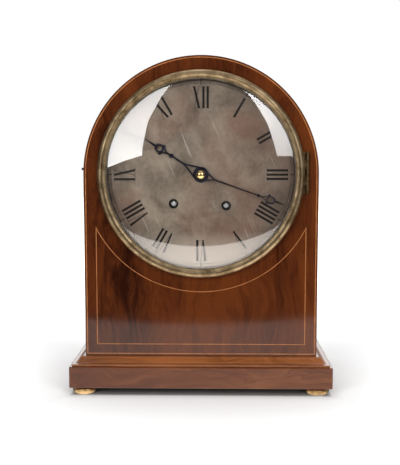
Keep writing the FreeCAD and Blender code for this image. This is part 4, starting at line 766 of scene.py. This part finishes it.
class CLOCK_OT_dial(bpy.types.Operator):
    """Makes the dial's hour figures, minute track and circles"""

    bl_idname = "clock.dial"
    bl_label = "Dial figures and track"

    def execute(self, context):
        dial = context.scene.clock_dial
        foot, top = dial.figure_foot / MM, dial.figure_top / MM
        front, back = DIAL_FRONT - 0.05, DIAL_FRONT + 0.02
        thick, hair = [], []
        for hour, word in enumerate(HOURS):
            angle = 30.0 * hour
            middle = -sum(LETTERS[letter][1] for letter in word) / 2
            for letter in word:
                strokes, room = LETTERS[letter]
                middle += room / 2
                for at_top, at_foot, wide, narrow in strokes:
                    (thick if wide > 1 else hair).append(beside(
                        angle, (middle + at_foot - narrow / 2, foot), (middle + at_foot + narrow / 2, foot),
                        (middle + at_top + wide / 2, top), (middle + at_top - wide / 2, top)))
                    for level, rise, at in ((foot, SERIF_THICK, at_foot), (top, -SERIF_THICK, at_top)):
                        near, far = middle + at - SERIF_HALF, middle + at + SERIF_HALF
                        hair.append(beside(angle, (near, level), (far, level), (far, level + rise),
                                           (near, level + rise)))
                middle += room / 2
        for minute in range(60):
            wide, low = (0.45, 94.2) if minute % 5 == 0 else (0.14, 95.9)
            hair.append(beside(6.0 * minute, (-wide, low), (wide, low), (wide, 99.3), (-wide, 99.3)))
        put("hour_figures", slabs(thick, front, back), black_wax_and_painted_shade, "case", "hands")
        rings = [turned([(inner, -back), (inner, -front + 0.01), (outer, -front + 0.01), (outer, -back)],
                        (0, 0, HUB), "y", 192, closed=True)
                 for inner, outer in ((95.6, 95.95), (98.9, 99.6))]
        put("minute_track", slabs(hair, front + 0.01, back) + rings, wax_thin, "case", "hands")
        # painted shade: black sleeves line the winding holes 6 mm deep, with a narrow lip on the dial, to darken holes
        # that are dark only from shade
        painted_shade_section = [(3.4, -6.0), (3.4, -0.3), (3.9, 0.1), (5.0, 0.12), (5.2, -0.02), (4.95, -0.1), (4.9, -6.0)]
        painted_shade_sleeves = [turned(painted_shade_section, (across, DIAL_FRONT, HUB + up), "y", 64, closed=True)
                   for across, up in ((27.0, -33.0), (-29.2, -31.0))]
        put("winding_hole_painted_shade", painted_shade_sleeves, black_wax_and_painted_shade, "case", "hands")
        dress(silvered_brass, "dial_plate")
        return {"FINISHED"}


class CLOCK_OT_bezel(bpy.types.Operator):
    """Makes the bezel's ring, its domed glass and the ring that keeps the glass in"""

    bl_idname = "clock.bezel"
    bl_label = "Bezel and glass"

    def execute(self, context):
        centre = (0, CASE_FRONT, HUB)
        # from the back face round the outside, over the bead and down the hollow to the glass's seat
        profile = ([(102, 0.3), (109.4, 0.3), (109.7, 0.6), (109.7, 4.6)]
                   + arc((109.7, 4.6), (105.3, 9.0), 4.4, -1, 16)[1:] + [(105.3, 8.2)]
                   + arc((105.3, 8.2), (101.6, 5.6), 6.0, 1, 10)[1:]
                   + [(100.7, 5.6), (100.5, 5.4), (100.5, 4), (102, 4)])
        put("bezel_ring_spun", turned(profile, centre, "y", 256, closed=True), spun_brass, "bezel", "case_brass",
            "bezel_ring", angle=40)

        def dome(height, rim=100.3, rise=11.0, steps=56):
            """A cap of a sphere through the rim at height and the crown at height plus rise."""
            ball = (rim**2 + rise**2) / (2 * rise)
            reach = np.linspace(0, math.asin(rim / ball), steps)
            return [(ball * math.sin(a), height + rise - ball * (1 - math.cos(a))) for a in reach]

        outline = dome(4.0) + [(101.9, 4.0), (101.9, 2.0)] + dome(2.0)[::-1]
        put("bezel_glass_domed", turned(outline, centre, "y", 256), clear_glass, "bezel", "glass", "bezel_glass")
        strip = [(99.9, 0.3), (101.9, 0.3), (102, 0.4), (102, 1.95), (99.9, 1.95), (99.8, 1.8), (99.8, 0.4)]
        put("glass_keeper_ring", turned(strip, centre, "y", 256, closed=True), keeper_silver, "bezel",
            "glass_keeper", "glass_ring")
        return {"FINISHED"}


HINGE = (112.8, -72.2)  # the bezel hinge's axis
KNUCKLE, HINGE_LOW, HINGE_HIGH = 8.4, 216.5, 259.3
HINGE_GAP = 0.2  # between two knuckles


def tube(radius, bore, length, place):
    """One knuckle of a hinge, with its end edges bevelled."""
    profile = [(bore, 0), (radius - 0.2, 0), (radius, 0.2), (radius, length - 0.2), (radius - 0.2, length),
               (bore, length)]
    return turned(profile, place, steps=32, closed=True)


class CLOCK_OT_bezel_hinge(bpy.types.Operator):
    """Makes the bezel's hinge: the plate let into the front, the bezel's knuckles and the pin"""

    bl_idname = "clock.bezel_hinge"
    bl_label = "Bezel hinge"

    def execute(self, context):
        x, y = HINGE
        plate = [block((x - 9, CASE_FRONT - 0.12, HINGE_LOW), (x + 1.7, CASE_FRONT + 1.2, HINGE_HIGH), 0.25)]
        leaf = []
        for count in range(5):
            low = HINGE_LOW + count * (KNUCKLE + HINGE_GAP)
            knuckle = tube(1.7, 0.82, KNUCKLE, (x, y, low))
            if count % 2 == 0:
                plate += [knuckle, block((x - 0.85, y + 1.0, low), (x + 0.85, CASE_FRONT, low + KNUCKLE), 0.15)]
            else:
                leaf += [knuckle, block((x - 4.6, y - 0.85, low), (x - 1.2, y + 0.85, low + KNUCKLE), 0.15)]
        screw = [(0, -0.4), (1.15, -0.4), (1.15, 0.1), (0.8, 0.28), (0, 0.3)]
        for height in (-15.0, 0.0, 15.0):
            middle = (HINGE_LOW + HINGE_HIGH) / 2 + height
            plate.append(turned(screw, (x - 6.8, CASE_FRONT - 0.1, middle), "y", 24))
        put("hinge_plate_let_in", plate, drawn_brass, "case", "case_brass", "bezel_hinge_plate")
        put("hinge_knuckles", leaf, drawn_brass, "bezel", "case_brass", "bezel_hinge_leaf")
        length = HINGE_HIGH - HINGE_LOW
        pin = [(0, -0.8), (0.8, -0.8), (1.2, -0.4), (1.2, 0), (0.78, 0), (0.78, length), (1.2, length),
               (1.2, length + 0.4), (0.8, length + 0.8), (0, length + 0.8)]
        put("hinge_pin", turned(pin, (x, y, HINGE_LOW), steps=24), drawn_brass, "case", "case_brass",
            "bezel_hinge_pin")
        return {"FINISHED"}


# ---------------------------------------------------------------- hands


def flat_bar(path, widths, front, back, angle, closed=False):
    """A bar along a path on the dial: at each point the cross-section lies square to the path,
    as wide as given, with its front edges bevelled. The path runs in the hand's own frame,
    where it points to twelve, and is then turned clockwise by angle."""
    path, widths = np.asarray(path, float), np.asarray(widths, float)[:, None] / 2
    way = np.roll(path, -1, 0) - np.roll(path, 1, 0) if closed else np.gradient(path, axis=0)
    way /= np.hypot(way[:, :1], way[:, 1:])
    normal = np.column_stack([way[:, 1], -way[:, 0]])
    bevel = np.minimum(0.3, widths * 0.45)
    shoulder = front + 0.35 * (back - front)
    turn = math.radians(angle)
    rows = []
    for offset, level in ((-widths, back), (-widths, shoulder), (-widths + bevel, front),
                          (widths - bevel, front), (widths, shoulder), (widths, back)):
        x, z = (path + normal * offset).T
        rows.append(np.stack([x * math.cos(turn) + z * math.sin(turn), np.full(len(path), level),
                              HUB - x * math.sin(turn) + z * math.cos(turn)], -1))
    return lofted(np.stack(rows, 1), closed)


def stud_on(angle, across, out, radius, front, back, hole=0.0):
    """A round boss or bead on a hand, with its front edge bevelled."""
    x, z = polar(angle, across, out)
    depth, bevel = back - front, 0.3
    profile = [(radius, 0), (radius, depth - bevel), (radius - bevel, depth)]
    if hole:
        profile += [(hole + 0.15, depth), (hole, depth - 0.15), (hole, 0)]
        return turned(profile, (x, back, z), "y", 64, closed=True)
    return turned([(0, 0)] + profile + [(0, depth)], (x, back, z), "y", 40)


def hand(angle, front, length, boss, hole, fork, bead, loop, heavy):
    """A pierced hand: a boss, two arms that draw together at the fork, a stem that thins to a
    bead, a round loop on a narrow neck with a scroll on each side, and a tapered point. All the
    bars after the fork are as wide as heavy says."""
    back, ring, throat, angle = front + 0.9, 3.75, loop - 9.8, math.degrees(angle)
    shells = [stud_on(angle, 0, 0, boss, front, back, hole)]

    def bar(across, out, widths, closed=False):
        """Adds a bar through points given by how far they lie across the hand and out along it."""
        across, out, widths = np.broadcast_arrays(across, out, widths)
        shells.append(flat_bar(np.column_stack([across, out]), widths, front, back, angle, closed))

    arm, stem, neck = np.linspace(0, 1, 14), np.linspace(0, 1, 16), np.linspace(0, 1, 12)
    for side in (-1, 1):
        bar(side * (boss * 0.72 * (1 - arm) ** 1.25 + 0.2 * arm), boss * 0.62 + (fork - boss * 0.62) * arm,
            1.75 - 0.35 * arm)
    bar(0, fork - 1 + (throat + 2 - fork) * stem, 1.75 + (heavy - 1.75) * stem)
    shells.append(stud_on(angle, 0, bead, 1.1 * heavy + 0.5, front, back))
    turn = np.linspace(0, 2 * math.pi, 56, endpoint=False)
    bar(np.sin(turn) * ring, loop + np.cos(turn) * ring, 1.15 * heavy, closed=True)
    for side in (-1, 1):
        # the neck: from the scroll beside the loop, bowed in to the throat
        bar(side * (4.2 * (1 - neck) ** 1.5 + 0.1), loop - 2.6 + (throat - loop + 2.6) * neck, 0.8 * heavy)
        shells.append(stud_on(angle, side * 4.3, loop - 2.9, 0.85 * heavy + 0.1, front, back))
        shells.append(stud_on(angle, side * 2.6, loop + ring + 0.1, 0.55 * heavy, front, back))
    start = loop + ring - 0.6
    bar(0, start + (length - start) * arm, (1.4 * (1 - arm) ** 1.6 + 0.5) * heavy)
    return shells


class CLOCK_OT_hands(bpy.types.Operator):
    """Makes the hour hand, the minute hand and the nut that holds them"""

    bl_idname = "clock.hands"
    bl_label = "Hands and nut"

    def execute(self, context):
        dial = context.scene.clock_dial
        hour = hand(dial.hour_angle, DIAL_FRONT - 3.2, length=70.5, boss=8.3, hole=3.3, fork=22, bead=37,
                    loop=51.7, heavy=1.8)
        put("hour_hand_blued", hour, blued_steel, "hour_group", "hands", "hour_hand")
        minute = hand(dial.minute_angle, MINUTE_FRONT, length=96, boss=7, hole=2.2, fork=16, bead=64.7,
                      loop=78.5, heavy=1.15)
        put("minute_hand_blued", minute, blued_steel, "minute_group", "hands", "minute_hand")
        dome = ([(1.2, 0), (4.6, 0), (4.9, 0.25), (4.9, 0.8)] + arc((4.9, 0.8), (1.9, 3.45), 4.6, -1, 10)[1:]
                + [(1.5, 3.6), (1.2, 3.3)])
        put("hand_nut_domed", turned(dome, (0, MINUTE_FRONT, HUB), "y", 64, closed=True), turned_brass,
            "minute_group", "movement_brass", "hand_nut")
        return {"FINISHED"}


# ---------------------------------------------------------------- back door

DOOR_HALF, DOOR_BASE = 91.2, PLINTH_TOP + 34.8
BUTT_LONG, BUTT_RADIUS = 24, 1.8


class CLOCK_OT_back_door(bpy.types.Operator):
    """Makes the back door's frame and pane, its two butt hinges and its catch"""

    bl_idname = "clock.back_door"
    bl_label = "Back door"

    def execute(self, context):
        back, inside = CASE_BACK, CASE_BACK - BOARD

        def outline(inset, along):
            """The door's outline drawn in by inset."""
            return arch_ring(DOOR_HALF - inset, DOOR_BASE + inset, along)

        profile = [(0, inside), (0, back - 0.5), (0.15, back - 0.15), (0.5, back), (19.4, back), (19.8, back - 0.15),
                   (20, back - 0.6), (20, back - 4), (16, back - 4), (16, inside)]
        put("door_frame_veneered", lofted([faced(outline(*spot), DOOR_START) for spot in profile], closed=True),
            bent_mahogany, "back_door", "case_wood", "door_frame")
        put("door_pane", lofted([outline(16.2, back - 6), outline(16.2, back - 4)]), clear_glass, "back_door",
            "glass", "door_glass")
        x, y = 91.6, back + 2
        barrel = (BUTT_LONG - 2 * HINGE_GAP) / 3
        plates, flaps = [], []
        screw = [(0, 0.4), (1.7, 0.4), (1.7, -0.05), (1.3, -0.22), (0, -0.3)]
        pin = [(0, 0), (0.6, 0), (0.8, 0.2), (0.8, BUTT_LONG - 0.2), (0.6, BUTT_LONG), (0, BUTT_LONG)]
        for low in (PLINTH_TOP + 60, PLINTH_TOP + 190):
            for side, group in ((1, plates), (-1, flaps)):
                near, far = sorted((x + side * 2.0, x + side * 14.0))
                group.append(block((near, back, low), (far, back + 1, low + BUTT_LONG), 0.25))
                for across, up in ((6.0, 4.5), (10.5, 12.0), (6.0, 19.5)):
                    group.append(turned(screw, (x + side * across, back + 1, low + up), "y", 28))
            for count in range(3):
                start = low + count * (barrel + HINGE_GAP)
                group, side = (flaps, -1) if count == 1 else (plates, 1)
                near, far = sorted((x + side * 1.1, x + side * 2.3))
                group += [tube(BUTT_RADIUS, 0.95, barrel, (x, y, start)),
                          block((near, back, start), (far, back + 1, start + barrel), 0.1)]
            plates.append(turned(pin, (x, y, low), steps=20))
        put("butt_hinge_plates", plates, drawn_brass, "case", "case_brass", "door_hinge_plates")
        put("butt_hinge_flaps", flaps, drawn_brass, "back_door", "case_brass", "door_hinge_flaps")
        x, z = -81.2, PLINTH_TOP + 164.7
        knob = [(0, 0.0), (2, 0.0), (2, -12.4), (3, -12.4), (3, -13.4), (5, -13.5), (5.8, -14.2), (6, -15.2),
                (5.7, -16.4), (4.6, -17.2), (2.5, -17.4), (0, -17.4)]
        tongue = block((x - 2, inside - 2, z - 2), (x + 2, inside - 0.4, z + 14), 0.3)
        put("catch_knob", [turned(knob, (x, inside - 2, z), "y", 48), tongue], drawn_brass, "catch", "case_brass",
            "door_catch")
        return {"FINISHED"}


# ---------------------------------------------------------------- movement


class CLOCK_OT_pendulum(bpy.types.Operator):
    """Makes the lens-shaped bob and the rating nut under it"""

    bl_idname = "clock.pendulum"
    bl_label = "Pendulum bob and nut"

    def execute(self, context):
        centre = sum(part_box("pendulum_bob"), Vector()) / 2 / MM
        face = arc((0, 6), (22, 0.8), 49.0, 1, 20)
        profile = face + [(22, -0.8)] + [(radius, -thick) for radius, thick in face[::-1]]
        put("bob_lens", turned(profile, centre, "y"), plate_brass, "bob", "movement_brass", "pendulum_bob")
        low, high = (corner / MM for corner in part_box("rating_nut"))
        angle = np.linspace(0, 2 * math.pi, 120, endpoint=False)
        # thirty flutes: every second pair of points is drawn in
        knurl = 1 - 0.045 * (np.arange(120) % 4 < 2)
        rings = [np.column_stack([(low.x + high.x) / 2 + radius * knurl**power * np.cos(angle),
                                  (low.y + high.y) / 2 + radius * knurl**power * np.sin(angle),
                                  np.full(120, height)])
                 for radius, power, height in ((1.35, 0, low.z), (4.5, 0, low.z), (5, 1, low.z + 0.5),
                                               (5, 1, high.z - 0.5), (4.5, 0, high.z), (1.35, 0, high.z))]
        put("rating_nut_knurled", lofted(rings, closed=True), plate_brass, "rating_nut", "movement_brass",
            "rating_nut")
        dress(bright_steel, "pendulum_rod")
        return {"FINISHED"}


class CLOCK_OT_bell(bpy.types.Operator):
    """Makes the bell over the movement"""

    bl_idname = "clock.bell"
    bl_label = "Bell"

    def execute(self, context):
        low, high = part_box("bell")
        centre = ((low.x + high.x) / 2 / MM, (low.y + high.y) / 2 / MM, low.z / MM)
        profile = (arc((34, 0), (12.9, 24), 27.94, -1, 24) + [(2.5, 24), (2.5, 21.5)]
                   + arc((11.9, 21.5), (31.5, 0), 25.44, 1, 24))
        put("bell_turned", turned(profile, centre, steps=128, closed=True), bell_bronze, "case", "bell_metal", "bell")
        return {"FINISHED"}


class CLOCK_OT_movement(bpy.types.Operator):
    """Gives the movement, the seat board and the lever their finishes"""

    bl_idname = "clock.movement"
    bl_label = "Movement finishes"

    def execute(self, context):
        dress(plate_brass, "front_plate", "back_plate", "plate_pillars", "dial_feet", "back_cock", "minute_wheel",
              "cannon_pinion", "hour_wheel", "third_wheel", "escape_wheel", "centre_wheel", "intermediate_wheel",
              "time_barrel", "gather_wheel", "pin_wheel", "strike_barrel", "strike_fly", "bell_bridge")
        dress(bright_steel, "pillar_nuts", "front_studs", "seat_screws", "pallets", "time_winding_arbor",
              "strike_winding_arbor", "time_click", "strike_click", "hammer")
        dress(drawn_brass, "strike_silent_lever", "lever_bracket")
        dress(beech, "seat_board")
        return {"FINISHED"}


# ---------------------------------------------------------------- stage


def glow(tree, strength, colour=(1, 1, 1, 1)):
    """A shader that gives light and reflects none."""
    return add(tree, "Emission", {"Color": colour, "Strength": strength})


def card(name, corners, at_foot, at_head):
    """A bright flat panel in front of the clock, facing it, whose radiance changes evenly from
    its foot, 0.38 m up, to its head, 1 m up. The camera doesn't see it."""
    mesh = bpy.data.meshes.new(name)
    mesh.from_pydata(np.asarray(corners, float) * MM, [], [list(range(len(corners)))])
    material = bpy.data.materials.new(name)
    tree = blank(material)
    height = add(tree, "SeparateXYZ", {0: placed(tree)}).outputs["Z"]
    add(tree, "OutputMaterial", {"Surface": glow(tree, spread(tree, height, at_foot, at_head, 0.38, 1.0))})
    mesh.materials.append(material)
    panel = in_scene(name, mesh)
    panel.visible_camera = False


def lamp(name, place, aim, size, level):
    """A square soft lamp of the given radiance: its power is that times pi times its area."""
    data = bpy.data.lights.new(name, "AREA")
    data.size = size
    data.energy = level * math.pi * size**2
    light = in_scene(name, data)
    light.location = place
    light.rotation_euler = (Vector(aim) - Vector(place)).to_track_quat("-Z", "Y").to_euler()


def paper(tree, stage):
    """White paper. As the camera sees it, it is whitened away from the plinth, and the whitening fades out
    towards the plinth, which paints shade round it; under the plinth its colour is darkened, a painted shadow. In
    reflections it is a bright sheet that ends in a shallow curve 0.42 m in front and fades out 0.4 m to each side."""
    path = add(tree, "LightPath").outputs
    where = add(tree, "SeparateXYZ", {0: placed(tree)}).outputs
    aside = calc(tree, "ABSOLUTE", where["X"])
    behind = calc(tree, "ABSOLUTE", where["Y"])
    # how far outside the plinth, which is 0.141 m to each side and 0.086 m to front and back
    clear = calc(tree, "MAXIMUM", calc(tree, "SUBTRACT", aside, 0.141), calc(tree, "SUBTRACT", behind, 0.086))
    # painted shade: the whitening is none at the plinth's edge and grows to full only 0.45 m out
    white = ramp(tree, clear, (0.0, grey(0)), (0.012, grey(stage.floor_lift)), (0.16, grey(0.35)), (0.45, grey(1)))
    lift = calc(tree, "MULTIPLY", path["Is Camera Ray"], white)
    # painted shadow: the paper's colour falls from 0.86 to 0.25 under the plinth
    matt = add(tree, "BsdfDiffuse", {"Color": spread(tree, clear, 0.25, 0.86, -0.006, 0.0)})
    seen = add(tree, "AddShader", {0: matt, 1: glow(tree, lift)})
    curve = calc(tree, "MULTIPLY_ADD", calc(tree, "MULTIPLY", where["X"], where["X"]), 1.35, where["Y"])
    curve = calc(tree, "MULTIPLY_ADD", where["X"], 0.06, curve)
    sheet = calc(tree, "MULTIPLY", spread(tree, curve, 0.0, 1.0, -0.424, -0.412),
                 spread(tree, where["Y"], 1.0, 0.0, -0.082, -0.074))
    sheet = calc(tree, "MULTIPLY", sheet, spread(tree, aside, 1.0, 0.0, 0.36, 0.46))
    shown = glow(tree, spread(tree, sheet, stage.room_floor, stage.sheet_glow), (1.0, 0.95, 0.9, 1))
    mirrored = calc(tree, "GREATER_THAN", path["Glossy Depth"], 0.5)
    return add(tree, "MixShader", {0: mirrored, 1: seen, 2: shown})


def surround(tree, stage):
    """White as the camera sees it, also straight through glass. In reflections it is white
    behind the clock and a dim room in front of it. On matt surfaces it is a weak fill."""
    path = add(tree, "LightPath").outputs
    ahead = add(tree, "SeparateXYZ", {0: add(tree, "TexCoord").outputs["Generated"]}).outputs["Y"]
    room = spread(tree, ahead, stage.dim_room, 1.0, -0.25, 0.45)
    mirrored = calc(tree, "GREATER_THAN", path["Glossy Depth"], 0.5)
    straight = calc(tree, "SUBTRACT", path["Is Transmission Ray"], mirrored)
    straight = calc(tree, "MAXIMUM", path["Is Camera Ray"], straight)
    other = calc(tree, "MULTIPLY_ADD", path["Is Diffuse Ray"], stage.fill, calc(tree, "MULTIPLY", mirrored, room))
    return add(tree, "Background", {"Color": (1, 1, 1, 1), "Strength": calc(tree, "MAXIMUM", straight, other)})


class CLOCK_OT_stage(bpy.types.Operator):
    """Makes the pale floor, the studio light, the white surround and the camera"""

    bl_idname = "clock.stage"
    bl_label = "Stage, light and camera"

    def execute(self, context):
        scene = context.scene
        stage = scene.clock_stage
        mesh = bpy.data.meshes.new("floor")
        mesh.from_pydata([(-4, -4, 0), (4, -4, 0), (4, 4, 0), (-4, 4, 0)], [], [(0, 1, 2, 3)])
        material = bpy.data.materials.new("white_paper")
        tree = blank(material)
        add(tree, "OutputMaterial", {"Surface": paper(tree, stage)})
        mesh.materials.append(material)
        in_scene("floor", mesh)

        # two softboxes, 1.5 m in front, with their inner edges where the glass shows them
        left = [(-353, 1090), (-437, 952), (-548, 714), (-589, 477), (-594, 386), (-777, 339), (-973, 277),
                (-1300, 230), (-1300, 1300), (-280, 1300)]
        right = [(422, 1043), (532, 887), (629, 705), (700, 477), (726, 383), (907, 383), (1300, 383),
                 (1300, 1300), (330, 1300)]
        for name, corners, at_foot, at_head in (("softbox_left", left, 1.15, 0.8), ("softbox_right", right, 0.65, 1.2)):
            card(name, [(x, -1500, z) for x, z in corners], stage.softbox * at_foot, stage.softbox * at_head)
        lamp("overhead", (0, 0.1, 2.2), (0, 0, 0), 1.8, stage.overhead)
        lamp("behind", (0, 2.4, 1.2), (0, 0, 0.2), 1.6, stage.behind)

        scene.world = bpy.data.worlds.new("white_surround")
        tree = blank(scene.world)
        add(tree, "OutputWorld", {"Surface": surround(tree, stage)})

        data = bpy.data.cameras.new("camera")
        data.sensor_width = 36.0
        data.lens = stage.lens
        scene.camera = in_scene("camera", data)
        scene.camera.location = (0.01575, -0.9122, 0.2564)
        pitch = math.radians(stage.pitch)
        # a little to the left of straight ahead
        forward = Vector((-0.0197 * math.cos(pitch), 0.9998 * math.cos(pitch), -math.sin(pitch)))
        scene.camera.rotation_euler = forward.to_track_quat("-Z", "Y").to_euler()
        scene.view_settings.view_transform = "Standard"
        return {"FINISHED"}


# ---------------------------------------------------------------- settings and panel


def size_of(name, description, default, low, high):
    """A length, in metres."""
    return FloatProperty(name=name, description=description, default=default, min=low, max=high, unit="LENGTH")


def turn_of(name, description, degrees):
    """An angle."""
    return FloatProperty(name=name, description=description, default=math.radians(degrees), subtype="ANGLE")


def tint(name, description, code):
    """A colour, from its sRGB hex code."""
    return FloatVectorProperty(name=name, description=description, subtype="COLOR", size=4, min=0, max=1,
                               default=linear(code))


def level_of(name, description, default, high, low=0):
    """A plain number."""
    return FloatProperty(name=name, description=description, default=default, min=low, max=high)


class ClockCase(bpy.types.PropertyGroup):
    """Sizes of the case"""

    arris: size_of("Arris", "Radius that the case's sharp edges are rubbed to", 0.0006, 0.0001, 0.003)
    line_proud: size_of("Line proud", "How far the boxwood lines stand above the veneer", 0.00006, 0.0, 0.0005)


class ClockDial(bpy.types.PropertyGroup):
    """Sizes of the dial's figures, and the time that the hands show"""

    figure_foot: size_of("Figures' foot", "Distance from the dial's centre to the hour figures' feet",
                         0.0698, 0.04, 0.09)
    figure_top: size_of("Figures' top", "Distance from the dial's centre to the hour figures' tops",
                        0.0925, 0.05, 0.095)
    hour_angle: turn_of("Hour hand", "Angle of the hour hand, clockwise from twelve", 302.5)
    minute_angle: turn_of("Minute hand", "Angle of the minute hand, clockwise from twelve", 109.8)


class ClockColours(bpy.types.PropertyGroup):
    """Colours of the finishes"""

    wood_dark: tint("Heartwood", "Darkest streaks of the mahogany", "#260e06")
    wood_mid: tint("Mahogany", "Usual colour of the mahogany", "#47210e")
    wood_light: tint("Light ribbon", "Lightest ribbons of the mahogany", "#5c2d13")
    base_light: tint("Faded wood", "Lightest ribbons of the plinth, middle ones of the moulding", "#70401f")
    line: tint("Boxwood", "Colour of the inlaid lines", "#a4693f")
    brass: tint("Brass", "Bezel where it stays bright", "#8f7c60")
    brass_dull: tint("Dull brass", "Bezel where it has tarnished", "#5a4a34")
    silver: tint("Silvering", "Dial where the silvering is good", "#887b6c")
    silver_dull: tint("Dull silvering", "Dial where the silvering has browned", "#43382f")


class ClockStage(bpy.types.PropertyGroup):
    """Light and camera"""

    lens: level_of("Lens", "Focal length in mm for a 36 mm sensor", 61.39, 200, 20)
    pitch: level_of("Pitch", "Degrees that the camera looks down", 5.576, 45)
    softbox: level_of("Softboxes", "Radiance of the two softboxes", 9.0, 50)
    overhead: level_of("Overhead", "Radiance of the lamp above", 2.4, 50)
    behind: level_of("Behind", "Radiance of the lamp behind", 2.0, 50)
    fill: level_of("Fill", "Level of the light from all round", 0.25, 2)
    dim_room: level_of("Dim room", "Level of the room in front, in reflections", 0.04, 1)
    room_floor: level_of("Room floor", "Level of the far floor, in reflections", 0.03, 2)
    sheet_glow: level_of("Bright sheet", "Level of the floor in front, in reflections", 3.4, 20)
    floor_lift: level_of("Floor lift", "Whitening of the floor as the camera sees it", 0.12, 1)


STEPS = (CLOCK_OT_boards, CLOCK_OT_shell, CLOCK_OT_lines, CLOCK_OT_base, CLOCK_OT_dial, CLOCK_OT_bezel,
         CLOCK_OT_bezel_hinge, CLOCK_OT_hands, CLOCK_OT_back_door, CLOCK_OT_pendulum, CLOCK_OT_bell,
         CLOCK_OT_movement, CLOCK_OT_stage)
GROUPS = {"clock_case": ClockCase, "clock_dial": ClockDial, "clock_colours": ClockColours, "clock_stage": ClockStage}


class CLOCK_PT_panel(bpy.types.Panel):
    """Lists the settings and the pieces"""

    bl_idname = "CLOCK_PT_panel"
    bl_label = "Bracket Clock"
    bl_space_type = "VIEW_3D"
    bl_region_type = "UI"
    bl_category = "Clock"

    def draw(self, context):
        for group, kind in GROUPS.items():
            box = self.layout.box()
            for field in kind.__annotations__:
                box.prop(getattr(context.scene, group), field)
        for step in STEPS:
            self.layout.operator(step.bl_idname)


def register():
    """Registers the settings, the operators and the panel."""
    for group, kind in GROUPS.items():
        bpy.utils.register_class(kind)
        setattr(bpy.types.Scene, group, PointerProperty(type=kind))
    for kind in (*STEPS, CLOCK_PT_panel):
        bpy.utils.register_class(kind)


def unregister():
    """Takes them away again."""
    for kind in (CLOCK_PT_panel, *reversed(STEPS)):
        bpy.utils.unregister_class(kind)
    for group, kind in GROUPS.items():
        delattr(bpy.types.Scene, group)
        bpy.utils.unregister_class(kind)


def main():
    """Builds every piece and the stage."""
    register()
    for step in STEPS:
        getattr(bpy.ops.clock, step.bl_idname.split(".")[1])()
    bpy.context.view_layer.update()


if __name__ == "__main__":
    main()
